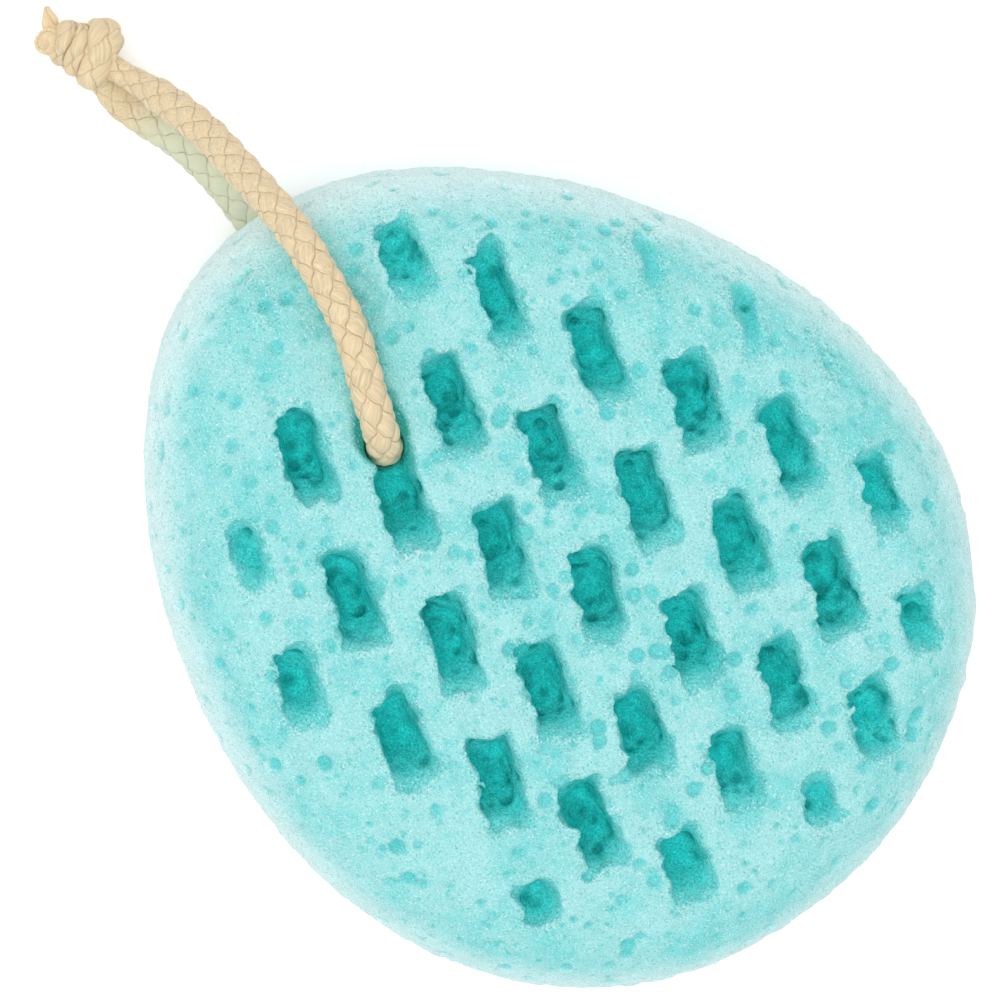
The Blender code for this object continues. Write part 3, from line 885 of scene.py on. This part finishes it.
def cut_pocket(foam_field, rims, pad, axes, middle, shares, rng, foam):
    """Cut one moulded pocket: long, ragged, and shaped like a boat inside.

    Its side towards the photo's left is steep and torn, and the opposite side is soft."""
    parts, near = window(axes, (middle.x, middle.y, SPONGE_HEIGHT), POCKET_WINDOW)
    if min(len(axis) for axis in near) < 3:
        return
    turn = COLUMN_TURN + math.radians(rng.uniform(-4, 4))
    off_x = near[0][:, None, None] - middle.x
    off_y = near[1][None, :, None] - middle.y
    along = off_x * math.cos(turn) + off_y * math.sin(turn)
    across = off_y * math.cos(turn) - off_x * math.sin(turn)
    broad, fine, crumbs = (
        [lattice_noise(rng, near, size) for _ in range(2)]
        for size in (BROAD_SIZE, FINE_SIZE, CRUMB_SIZE)
    )
    half_length = POCKET_LENGTH * shares[0] / 2 * rng.uniform(0.96, 1.05)
    half_width = POCKET_WIDTH * shares[1] / 2 * rng.uniform(0.86, 0.98)
    soft = np.clip(0.5 + 0.5 * across / half_width, 0, 1)
    torn = 1.6 - soft
    ragged = [torn * (0.6 * fine[i] + 0.4 * crumbs[i]) for i in range(2)]
    along = along + foam.ragged * (1.3 * broad[0] + ragged[0])
    across = across + foam.ragged * (0.9 * broad[1] + ragged[1])
    # The walls lean in with depth, most at the lower end
    below = np.maximum(-pad[parts] - LEAN_START, 0)
    lean = LEAN * (1 - np.exp(-below / LEAN_DEPTH))
    lower = along + LOWER_LEAN * lean
    upper = UPPER_LEAN * lean - along - rng.uniform(0.0, 0.4) * across
    off_end = np.maximum(lower, upper) - half_length + POCKET_CORNER
    off_side = np.maximum(across + SIDE_LEAN * lean, -across) - half_width + POCKET_CORNER
    wall = rounded_corner(off_end, off_side) - POCKET_CORNER
    # The floor is deepest in the middle, and shallow pockets are hollow like a spoon
    deep = DEPTH_SHOWN * POCKET_DEPTH * shares[2]
    deep = deep * np.clip(1 - np.abs(along / half_length) ** 2.4, 0.01, 1) ** 0.85
    deep = deep * np.clip(1 - (0.8 - shares[2]) * (across / half_width) ** 2, 0.05, 1)
    floor = -pad[parts] - deep * (1 + 0.06 * broad[0]) + 0.0003 * fine[1]
    pocket = smooth_max(wall, floor, POCKET_BLEND)
    eased = np.maximum(soft**2, np.clip(along / half_length, 0, 1) ** 2)
    rounding = (foam.rim_rounding * (0.6 + 2.2 * eased)).astype(np.float32)
    foam_field[parts] = smooth_max(foam_field[parts], -pocket, rounding)
    rims[parts] = np.minimum(rims[parts], np.abs(wall) * (0.7 + 0.9 * soft))


def softened(field):
    """A field with its sharp ridges rounded, by the mean of neighbours along each axis."""
    field = field.copy()
    for number in range(3):
        turned = np.moveaxis(field, number, 0)
        turned[1:-1] = (turned[:-2] + 2 * turned[1:-1] + turned[2:]) / 4
    return field


def cut_balls(field, axes, places, radii, rounding):
    """Cut round hollows at the given places."""
    for place, radius in zip(places, radii):
        parts, near = window(axes, place, (radius * 1.5,) * 3)
        off = np.sqrt(
            (near[0][:, None, None] - place[0]) ** 2
            + (near[1][None, :, None] - place[1]) ** 2
            + (near[2][None, None, :] - place[2]) ** 2
        )
        field[parts] = smooth_max(field[parts], (radius - off).astype(np.float32), rounding)


def surface_places(field, axes, wanted, rng, count):
    """Random grid points next to a field's surface where a condition holds, with the directions
    outward from them."""
    voxel = axes[0][1] - axes[0][0]
    found = np.argwhere((np.abs(field) < voxel * 0.6) & wanted)
    if not len(found):
        return np.empty((0, 3)), np.empty((0, 3))
    chosen = found[rng.integers(0, len(found), count)]
    chosen = np.clip(chosen, 1, np.array(field.shape) - 2)
    slopes = []
    for i in range(3):
        step = np.eye(3, dtype=int)[i]
        slopes.append(field[tuple((chosen + step).T)] - field[tuple((chosen - step).T)])
    outward = np.stack(slopes, axis=1)
    outward /= np.maximum(np.linalg.norm(outward, axis=1, keepdims=True), 1e-9)
    return np.stack([axes[i][chosen[:, i]] for i in range(3)], axis=1), outward


def leg_room(axes, route, radius, above):
    """Field of the room that a leg of the cord needs to lie and to swing about the bore.

    It is open towards the face or the underside, except close to the bore, where it only holds
    the cord."""
    bore = np.array(FRONT_ROUTE[0][:2])
    line = smooth_route(route, 0.0004)
    plan = np.hypot(*(line[:, :2] - bore).T)
    side = 1 if above else -1
    outer = plan > ROOM_OPENS
    # Level of the room's middle at each distance from the bore
    table = np.arange(-0.01, 0.1, 0.0005)
    reach = np.clip(radius**2 - (table[:, None] - plan[outer]) ** 2, 0, None)
    levels = np.where(reach > 0, side * line[outer, 2] - np.sqrt(reach), np.inf).min(axis=1)
    levels = np.where(np.isfinite(levels), levels + radius, 1.0)
    headings = np.unwrap(np.arctan2(line[outer, 1] - bore[1], line[outer, 0] - bore[0]))
    x = axes[0][:, None] - bore[0]
    y = axes[1][None, :] - bore[1]
    distance = np.hypot(x, y)
    heading = np.interp(distance, plan[outer], headings)
    turn = np.abs((np.arctan2(y, x) - heading + math.pi) % math.tau - math.pi)
    turn = np.clip(turn - LOOP_SWING, 0, math.pi)
    middle = np.interp(distance * np.cos(turn), table, levels)
    past = np.maximum(middle[:, :, None] - side * axes[2][None, None, :], 0)
    room = np.hypot((distance * np.sin(turn))[:, :, None], past) - radius
    # Next to the bore the cord bends upright, and the room follows its line at five swings
    parts, near = window(axes, (*bore, line[0, 2] + side * 0.006), (0.010, 0.010, 0.0115))
    grid = np.meshgrid(*near, indexing="ij")
    close = np.full(grid[0].shape, 1.0)
    bend = line[plan < ROOM_BENDS]
    for swing in np.linspace(-LOOP_SWING, LOOP_SWING, 5):
        for point, off in zip(bend, bend[:, :2] - bore):
            at_x = bore[0] + off[0] * math.cos(swing) - off[1] * math.sin(swing)
            at_y = bore[1] + off[0] * math.sin(swing) + off[1] * math.cos(swing)
            away = (grid[0] - at_x) ** 2 + (grid[1] - at_y) ** 2 + (grid[2] - point[2]) ** 2
            close = np.minimum(close, away)
    room[parts] = np.minimum(room[parts], np.sqrt(close) - radius)
    return room.astype(np.float32)


def sampled(field, axes, points):
    """Values of a field at points, from the grid's eight nearest."""
    total = 0
    cells = []
    for i in range(3):
        place = (points[:, i] - axes[i][0]) / (axes[i][1] - axes[i][0])
        place = np.clip(place, 0, len(axes[i]) - 1.001)
        low = place.astype(int)
        cells.append((low, place - low))
    for corner in range(8):
        picks = [(corner >> i) & 1 for i in range(3)]
        weight = 1
        for (_, part), pick in zip(cells, picks):
            weight = weight * (part if pick else 1 - part)
        total = total + weight * field[tuple(low + pick for (low, _), pick in zip(cells, picks))]
    return total


def whole_piece(points, quads):
    """The largest connected part of a surface, without loose specks and closed bubbles."""
    shell = np.arange(len(points))
    while True:
        lowest = np.repeat(shell[quads].min(axis=1), 4)
        joined = shell.copy()
        np.minimum.at(joined, shell[quads].ravel(), lowest)
        joined = joined[joined]
        if np.array_equal(joined, shell):
            break
        shell = joined
    kept = shell == np.bincount(shell).argmax()
    number = np.cumsum(kept) - 1
    return points[kept], number[quads[kept[quads[:, 0]]]]


def surface_of(field, axes, voxel):
    """Vertices and quads of the surface where a field on a grid is zero."""
    band = 3 * voxel
    grid = openvdb.FloatGrid(band)
    grid.copyFromArray(np.ascontiguousarray(np.clip(field, -band, band), dtype=np.float32))
    points, quads = whole_piece(*grid.convertToQuads())
    return points * voxel + np.array([axis[0] for axis in axes]), quads


def cord_rooms(axes, bore):
    """Fields of the room that foam leaves for the cord: in the bore and for both legs."""
    radius = CORD_DIAMETER / 2
    bore_middle = (FRONT_ROUTE[0][2] + BACK_ROUTE[0][2]) / 2
    past_bore = np.abs(axes[2] - bore_middle) - BORE_HALF_LENGTH
    bore_room = np.maximum(bore[:, :, None] - radius - BORE_CLEARANCE, past_bore[None, None, :])
    front_room = leg_room(axes, FRONT_ROUTE, radius + FRONT_CLEARANCE, True)
    back_room = leg_room(axes, BACK_ROUTE, radius + BACK_CLEARANCE, False)
    return bore_room, front_room, back_room


def foam_surface(foam):
    """Vertices and faces of the foam, with what its colours depend on: each vertex's depth below
    the skin and in a small round hole, and its nearness to a pocket's rim, to the cord's room and
    to the pad's edge."""
    rng = np.random.default_rng(20)
    voxel = foam.voxel
    axes = [np.arange(low, high, voxel) for low, high in zip(FOAM_LOW, FOAM_HIGH)]
    pad = pad_field(axes)
    field = pad
    for share, size in SKIN_BUMPS:
        field = field + foam.skin_relief * share * lattice_noise(rng, axes, size)
    skin = field.copy()
    places, outward = surface_places(field, axes, True, rng, foam.bubble_count)
    radii = BUBBLE_RADIUS + BUBBLE_SPREAD * rng.random(len(places)) ** 2.0
    raised = radii * (0.60 * rng.random(len(places)) ** 0.7 - 0.05)
    cut_balls(field, axes, places + outward * raised[:, None], radii, BUBBLE_ROUNDING)
    rims = np.full(field.shape, 0.01, dtype=np.float32)
    for middle, shares in pocket_places():
        cut_pocket(field, rims, pad, axes, middle, shares, rng, foam)
    # Ridges inside the pockets are rounded, and the skin and the rims stay crisp
    soft = field
    for _ in range(4):
        soft = softened(soft)
    field += (soft - field) * np.clip((-pad - SOFT_START) / SOFT_REACH, 0, 1)
    before_caves = field.copy()
    places, outward = surface_places(field, axes, pad < -CAVES_BELOW, rng, foam.cave_count)
    radii = CAVE_RADIUS + CAVE_SPREAD * rng.random(len(places)) ** 2.5
    raised = 0.35 * radii
    cut_balls(field, axes, places + outward * raised[:, None], radii, CAVE_ROUNDING)
    # Foam closes round the cord's bore, and then the cord's own room is cut
    bore = np.hypot(axes[0][:, None] - FRONT_ROUTE[0][0], axes[1][None, :] - FRONT_ROUTE[0][1])
    collar = np.maximum(bore[:, :, None] - COLLAR_RADIUS, pad + COLLAR_DEPTH)
    field = -smooth_max(-field, -collar, COLLAR_BLEND)
    bore_room, front_room, back_room = cord_rooms(axes, bore)
    rooms = np.minimum(np.minimum(bore_room, front_room), back_room)
    upper = np.clip((axes[2] - SPONGE_HEIGHT / 2) / 0.004, 0, 1)[None, None, :]
    field = smooth_max(field, -rooms, upper * FACE_LIP_ROUNDING + LIP_ROUNDING)
    field = np.maximum(field, -axes[2][None, None, :]).astype(np.float32)
    points, quads = surface_of(field, axes, voxel)
    side = np.maximum(outline_distance(axes[0], axes[1]) + EDGE_RADIUS, 0)
    side_axes = [axes[0], axes[1], np.array([-1.0, 1.0])]
    side = sampled(np.repeat(side[:, :, None], 2, axis=2), side_axes, points)
    near_room = sampled(np.minimum(bore_room, front_room), axes, points)
    shades = {
        "depth": -sampled(skin, axes, points),
        "sunk": -sampled(before_caves, axes, points),
        "crumbs": np.clip(1 - sampled(rims, axes, points) / CRUMBS_REACH, 0, 1),
        "room": np.clip(1 - near_room / GLOW_REACH, 0, 1),
        "rim": np.clip(side / EDGE_RADIUS, 0, 1),
    }
    return points, quads, shades


# Operators


class SPONGE_OT_camera(bpy.types.Operator):
    """Place the camera above the face, as the photograph has it."""

    bl_idname = "sponge.camera"
    bl_label = "Camera"

    def execute(self, context):
        data = bpy.data.cameras.new("Camera")
        data.sensor_width = 36
        data.sensor_fit = "HORIZONTAL"
        data.angle = CAMERA_ANGLE
        data.clip_start = 0.01
        camera = bpy.data.objects.new("Camera", data)
        right, up = Vector(CAMERA_RIGHT), Vector(CAMERA_UP)
        turn = Matrix((right, up, right.cross(up))).transposed().to_4x4()
        camera.matrix_world = Matrix.Translation(CAMERA_PLACE) @ turn
        context.scene.collection.objects.link(camera)
        context.scene.camera = camera
        return {"FINISHED"}


def knot_axes():
    """The knot's own axes, at its middle: X along it, away from the legs, and Z up."""
    along = Vector(KNOT_AXIS).normalized()
    across = Vector((0, 0, 1)).cross(along).normalized()
    turn = Matrix((along, across, along.cross(across))).transposed().to_4x4()
    middle = Vector(FRONT_ROUTE[-1]).lerp(Vector(BACK_ROUTE[-1]), 0.5)
    middle += along * (KNOT_PAST_LEGS + KNOT_LENGTH / 2) + across * KNOT_ASIDE
    middle.z = PIECE_GAP + KNOT_THICKNESS / 2
    return Matrix.Translation(middle) @ turn


def moved(matrix, points):
    """Points turned and moved by a matrix."""
    turned = np.array(matrix)
    return points @ turned[:3, :3].T + turned[:3, 3]


def wound_tube(points, line, rises, radii, cord):
    """How far points lie outside a braided tube, with the strand's own coordinates there."""
    heading, rise, aside = axes_towards(line, rises)
    travel = travel_along(line)
    nearest = np.empty(len(points), dtype=int)
    batch = 20000
    for start in range(0, len(points), batch):
        part = points[start : start + batch]
        off = ((part[:, None, :] - line[None, :, :]) ** 2).sum(axis=2)
        nearest[start : start + batch] = off.argmin(axis=1)
    off = points - line[nearest]
    along = (off * heading[nearest]).sum(axis=1)
    angle = np.arctan2((off * aside[nearest]).sum(axis=1), (off * rise[nearest]).sum(axis=1))
    share = radii[nearest] / (CORD_DIAMETER / 2)
    travelled = (travel[nearest] + along) / share
    reach, offset, place, strand, crease = braid_surface(travelled, angle, cord)
    outside = np.linalg.norm(off, axis=1) - reach * share
    return outside, np.stack([offset, place, strand * STRAND_APART], axis=-1), crease


def knot_surface(cord):
    """Vertices and faces of the knot's turns in its own axes, with their strands and creases."""
    voxel = 0.00014
    axes = [np.arange(low, high, voxel) for low, high in zip(KNOT_LOW, KNOT_HIGH)]
    wraps = knot_wraps()
    rng = np.random.default_rng(5)
    warps = [KNOT_WARP * lattice_noise(rng, axes, KNOT_WARP_SIZE) for _ in range(3)]

    def field(points):
        warped = points + np.stack([sampled(warp, axes, points) for warp in warps], axis=1)
        tubes = [wound_tube(warped, *wrap, cord) for wrap in wraps]
        distances = np.stack([tube[0] for tube in tubes])
        wins = distances.argmin(axis=0)
        each = np.arange(len(points))
        strand = np.stack([tube[1] for tube in tubes])[wins, each] + 0.05 * wins[:, None]
        # Creases, and the places where two turns meet, carry painted shade
        crease = np.stack([tube[2] for tube in tubes])[wins, each] * 0.8
        nearest, following = np.sort(distances, axis=0)[:2]
        met = np.clip(1 - (following - nearest) / KNOT_MEETING, 0, 1)
        met = met * np.clip(points[:, 2] / 0.001 + 2, 0, 1)
        past_core = np.abs(warped[:, 0] - KNOT_CORE_MIDDLE) - KNOT_CORE_HALF
        core = np.maximum(np.hypot(warped[:, 1], warped[:, 2]) - KNOT_CORE_RADIUS, past_core)
        return np.minimum(nearest, core), strand, np.maximum(crease, met)

    grid_points = np.stack(np.meshgrid(*axes, indexing="ij"), axis=-1).reshape(-1, 3)
    values = np.full(len(grid_points), 0.001, dtype=np.float32)
    close = np.hypot(grid_points[:, 1], grid_points[:, 2]) < KNOT_REACH
    values[close] = field(grid_points[close])[0]
    values = values.reshape([len(axis) for axis in axes])
    points, quads = surface_of(values, axes, voxel)
    _, strand, crease = field(points)
    # Places that lie below the knot's outline are shaded as a crease is
    fall = np.interp(points[:, 0], *KNOT_OUTLINE) - np.linalg.norm(points[:, 1:], axis=1)
    return points, quads, strand, np.maximum(crease, np.clip((fall - 0.0004) / 0.0012, 0, 0.7))


def knot_wraps():
    """The turns of cord in the knot: the middle line of each, its outward directions and radii."""
    at, *columns = np.array(KNOT_WRAP).T
    turns = np.linspace(at[0], at[-1], 260)
    spread = 13
    smooth = []
    for values in columns:
        fine = np.pad(np.interp(turns, at, values), spread // 2, mode="edge")
        smooth.append(np.convolve(fine, np.ones(spread) / spread, mode="valid") / 1000)
    place, reach, radius = smooth
    angle = math.pi - turns * math.tau
    outward = np.stack([0 * angle, np.cos(angle), np.sin(angle)], axis=1)
    line = outward * reach[:, None]
    line[:, 0] = place
    ends = [0, *np.searchsorted(turns, KNOT_WRAP_ENDS), len(turns)]
    return [(line[a:b], outward[a:b], radius[a:b]) for a, b in zip(ends, ends[1:])]


class SPONGE_OT_knot(bpy.types.Operator):
    """Wind the knot that joins both legs of the cord."""

    bl_idname = "sponge.knot"
    bl_label = "Knot"

    def execute(self, context):
        cord = context.scene.sponge_cord
        points, quads, strand, crease = knot_surface(cord)
        mesh = smooth_mesh("Knot", moved(knot_axes(), points), quads[:, ::-1].tolist())
        keep_vector(mesh, "strand", strand)
        keep_value(mesh, "crease", crease)
        material = cord_material("Knotted cotton cord", cord.cotton, cord, 0.65)
        show("knot_wraps", mesh, material, "loop", ["cord_knot"])
        return {"FINISHED"}


class SPONGE_OT_cut_ends(bpy.types.Operator):
    """Shape the frayed end and the melted end beyond the knot."""

    bl_idname = "sponge.cut_ends"
    bl_label = "Cut ends"

    def execute(self, context):
        cord = context.scene.sponge_cord
        axes = knot_axes()
        for name, node, route, shape in (
            ("frayed_end", "cord_end_tuft", FRAYED_ROUTE, self.frayed),
            ("melted_end", "cord_end_stub", MELTED_ROUTE, self.melted),
        ):
            line = smooth_route([axes @ Vector(point) for point in route], 0.00006)
            heading, rise, aside = cord_axes(line, (0.2, 0.1, 1))
            angle = np.linspace(0, math.tau, 140, endpoint=False)[None, :]
            travel = travel_along(line)
            radius, push, threads, crease = shape(travel[:, None] / travel[-1], angle)
            middles = line[:, None, :] + heading[:, None, :] * push[:, :, None]
            mesh = tube_mesh(node, middles + ring_spokes(angle, rise, aside) * radius[:, :, None])
            across, along = np.broadcast_arrays(threads, travel[:, None])
            keep_vector(mesh, "strand", np.stack([across, along, 0 * along], axis=-1))
            keep_value(mesh, "crease", crease)
            material = cord_material(name.replace("_", " ").capitalize(), cord.end_tint, cord, 0.6)
            show(name, mesh, material, "loop", [node])
        return {"FINISHED"}

    def frayed(self, travel, angle):
        """A twisted flame of threads that ends in a thin point: its radius at each angle, how far
        it is pushed ahead, its threads and its creases."""
        width = np.interp(travel, *FRAYED_WIDTHS) / 1000
        twisted = angle + travel * 2.2
        lobes = np.abs(np.sin(1.5 * twisted + 0.4))
        ends = np.clip((1 - travel) / 0.02, 0, 1) ** 0.5
        radius = width * (0.80 + 0.20 * lobes**0.5) * ends + 0.00003 * np.sin(19 * twisted)
        radius = np.maximum(radius, 0.00002)
        return radius, 0 * radius, twisted * 0.0012, np.clip(1 - lobes * 3.0, 0, 1) * 0.5

    def melted(self, travel, angle):
        """A short round end whose strands have melted into a coil, given in the same way."""
        side = np.clip(travel / 0.70, 0, 1)
        face = np.clip((travel - 0.70) / 0.30, 0, 1)
        rounded = np.sqrt(np.clip(1 - face**1.8, 0, 1))
        lobes = np.abs(np.sin(angle + 0.5))
        width = (0.00205 + 0.00015 * np.sin(side * math.pi)) * rounded
        leaning = 1 + 0.16 * np.cos(angle - 1.9) * (1 - face)
        radius = width * (0.84 + 0.16 * lobes**0.6) * leaning + 0.00001
        turned = angle + rounded * 1.5 * math.tau
        held = np.clip(face * 5, 0, 1) * np.clip(rounded * 3, 0, 1)
        push = 0.00060 * (np.abs(np.cos(turned / 2)) ** 0.6 - 0.6) * held
        coil = np.clip(-np.cos(turned) - 0.75, 0, 1) * 4 * held
        crease = np.maximum(coil, np.clip(1 - lobes * 3.5, 0, 1) * (1 - held))
        return radius, push, angle * 0.0019 + 0 * travel, np.clip(crease, 0, 1) * 0.5


class SPONGE_OT_braid(bpy.types.Operator):
    """Braid the cord along its two legs and through the foam."""

    bl_idname = "sponge.braid"
    bl_label = "Braided cord"

    def execute(self, context):
        cord = context.scene.sponge_cord
        material = cord_material("Braided cotton cord", cord.cotton, cord, 0.62)
        front_start, back_start = Vector(FRONT_ROUTE[0]), Vector(BACK_ROUTE[0])
        inside = [front_start.lerp(back_start, share) for share in (0, 0.33, 0.67, 1)]
        gap = Vector((0, 0, PIECE_GAP))
        inside = [inside[0] - gap, *inside[1:-1], inside[-1] + gap]
        front = self.leg("Front leg", self.run_on(FRONT_ROUTE), cord, (1, 0, 0), 0.74)
        through = self.leg("Through foam", inside, cord, (-1, 0, 0), 1.0)
        back = self.leg("Back leg", self.run_on(BACK_ROUTE), cord, (-1, 0, 0), 0.86)
        show("braid_through_foam", through[0], material, "loop", ["cord_through_sponge"])
        at_knot = ("knot_wraps", "frayed_end", "melted_end")
        knot_pieces = [bpy.data.objects[name] for name in at_knot]
        for name, (mesh, line), node, pieces in (
            ("braid_front_leg", front, "cord_front_leg", knot_pieces),
            ("braid_back_leg", back, "cord_back_leg", []),
        ):
            leg = show(name, mesh, material, "loop", [node])
        return {"FINISHED"}

    def run_on(self, route):
        """A leg's route with its hidden end inside the knot."""
        end = Vector(route[-1])
        inwards = (knot_axes().to_translation() - end).normalized()
        return [*route, tuple(end + inwards * LEG_IN_KNOT)]

    def leg(self, name, route, cord, up, pinch):
        """Mesh of one stretch of braid with closed, rounded ends, and its middle line.

        The knot pinches a leg's far end to a share of its thickness. The back leg gets painted
        shade, tinted by light bounced from the foam, up to where it nears the knot."""
        sides = 112
        step = cord.step
        line = smooth_route(route, step)
        travel = travel_along(line)
        _, rise, aside = cord_axes(line, up)
        angle = np.linspace(0, math.tau, sides, endpoint=False)[None, :]
        radius, offset, place, strand, crease = braid_surface(travel[:, None], angle, cord)
        left = travel[-1] - travel
        squeeze = np.clip((PINCH_START - left) / PINCH_LENGTH, 0, 1)
        radius = radius * (1 - (1 - pinch) * squeeze * squeeze * (3 - 2 * squeeze))[:, None]
        tip = np.clip(np.minimum(travel, left) / TIP_LENGTH, 0, 1)
        radius = radius * np.sqrt(np.clip(1 - (1 - tip) ** 2 * 0.6, 0, 1))[:, None]
        shape = line[:, None, :] + ring_spokes(angle, rise, aside) * radius[:, :, None]
        mesh = tube_mesh(name, shape)
        keep_vector(mesh, "strand", np.stack([offset, place, strand * STRAND_APART], axis=-1))
        keep_value(mesh, "crease", crease)
        # The back leg gets painted shade, tinted by light bounced from the foam
        in_shade = route[0] == BACK_ROUTE[0]
        leg_shade = np.clip((left - SHADE_END) / SHADE_FADE, 0, 1) if in_shade else 0 * travel
        keep_value(mesh, "bounce_shade", np.repeat(leg_shade, sides))
        return mesh, line


class SPONGE_OT_foam_pad(bpy.types.Operator):
    """Shape the foam pad with its pockets, bubbles, bore and rooms for the cord."""

    bl_idname = "sponge.foam_pad"
    bl_label = "Foam pad"

    def execute(self, context):
        foam = context.scene.sponge_foam
        points, quads, shades = foam_surface(foam)
        mesh = smooth_mesh("Foam pad", points, quads[:, ::-1].tolist())
        normals = np.empty(len(mesh.vertices) * 3, dtype=np.float32)
        mesh.vertices.foreach_get("normal", normals)
        shades["steep"] = 1 - np.abs(normals[2::3])
        for label, values in shades.items():
            keep_value(mesh, label, values)
        pad = show("foam_pad", mesh, foam_material(foam), "sponge", ["sponge_body"])
        return {"FINISHED"}


class SPONGE_OT_stage(bpy.types.Operator):
    """Lay the pale floor and set the soft light."""

    bl_idname = "sponge.stage"
    bl_label = "Stage"

    def execute(self, context):
        studio = context.scene.sponge_studio
        context.scene.view_settings.view_transform = "Standard"
        mesh = bpy.data.meshes.new("Floor")
        corners = [(-1, -1, 0), (1, -1, 0), (1, 1, 0), (-1, 1, 0)]
        mesh.from_pydata([Vector(corner) * FLOOR_HALF for corner in corners], [], [(0, 1, 2, 3)])
        floor = bpy.data.objects.new("floor", mesh)
        context.scene.collection.objects.link(floor)
        floor.location.z = -FLOOR_DROP
        mesh.materials.append(self.floor_material(studio))
        world = bpy.data.worlds.new("Studio")
        context.scene.world = world
        world.use_nodes = True
        background = world.node_tree.nodes["Background"]
        background.inputs["Color"].default_value = (1, 1, 1, 1)
        background.inputs["Strength"].default_value = studio.sky
        lamp = bpy.data.lights.new("Key", "AREA")
        lamp.shape = "DISK"
        lamp.size = KEY_SIZE
        lamp.energy = studio.key
        key = bpy.data.objects.new("Key", lamp)
        key.location = KEY_PLACE
        key.rotation_euler = (-key.location).to_track_quat("-Z", "Y").to_euler()
        context.scene.collection.objects.link(key)
        return {"FINISHED"}

    def floor_material(self, studio):
        """Matt floor that keeps the shadow and is white to the camera."""
        material, nodes, shader = new_material("Pale floor")
        shader.inputs["Base Color"].default_value = full(studio.floor_colour)
        shader.inputs["Roughness"].default_value = 0.9
        shader.inputs["Specular IOR Level"].default_value = 0.0
        shader.inputs["Emission Color"].default_value = (1, 1, 1, 1)
        path = nodes.add("ShaderNodeLightPath").outputs
        seen = nodes.math("MAXIMUM", path["Is Camera Ray"], path["Is Glossy Ray"])
        seen = nodes.math("MAXIMUM", seen, path["Is Transmission Ray"])
        nodes.link(nodes.product(seen, FLOOR_WHITENING), shader.inputs["Emission Strength"])
        return material


class SPONGE_PT_panel(bpy.types.Panel):
    """Sizes, colours and pieces of the bath sponge."""

    bl_idname = "SPONGE_PT_panel"
    bl_label = "Bath Sponge"
    bl_space_type = "VIEW_3D"
    bl_region_type = "UI"
    bl_category = "Bath Sponge"

    def draw(self, context):
        scene = context.scene
        for group in (scene.sponge_foam, scene.sponge_cord, scene.sponge_studio):
            column = self.layout.column(align=True)
            for name in group.__annotations__:
                column.prop(group, name)
        for operator in OPERATORS:
            self.layout.operator(operator.bl_idname)


GROUPS = (FoamSettings, CordSettings, StudioSettings)
OPERATORS = (
    SPONGE_OT_camera,
    SPONGE_OT_knot,
    SPONGE_OT_cut_ends,
    SPONGE_OT_braid,
    SPONGE_OT_foam_pad,
    SPONGE_OT_stage,
)


def register():
    """Register the settings, the operators and the panel."""
    for item in (*GROUPS, *OPERATORS, SPONGE_PT_panel):
        bpy.utils.register_class(item)
    bpy.types.Scene.sponge_foam = PointerProperty(type=FoamSettings)
    bpy.types.Scene.sponge_cord = PointerProperty(type=CordSettings)
    bpy.types.Scene.sponge_studio = PointerProperty(type=StudioSettings)


def unregister():
    """Take away what register added."""
    del bpy.types.Scene.sponge_studio
    del bpy.types.Scene.sponge_cord
    del bpy.types.Scene.sponge_foam
    for item in reversed((*GROUPS, *OPERATORS, SPONGE_PT_panel)):
        bpy.utils.unregister_class(item)


def main():
    """Make every piece and the stage."""
    register()
    bpy.ops.sponge.camera()
    bpy.ops.sponge.knot()
    bpy.ops.sponge.cut_ends()
    bpy.ops.sponge.braid()
    bpy.ops.sponge.foam_pad()
    bpy.ops.sponge.stage()


if __name__ == "__main__":
    main()
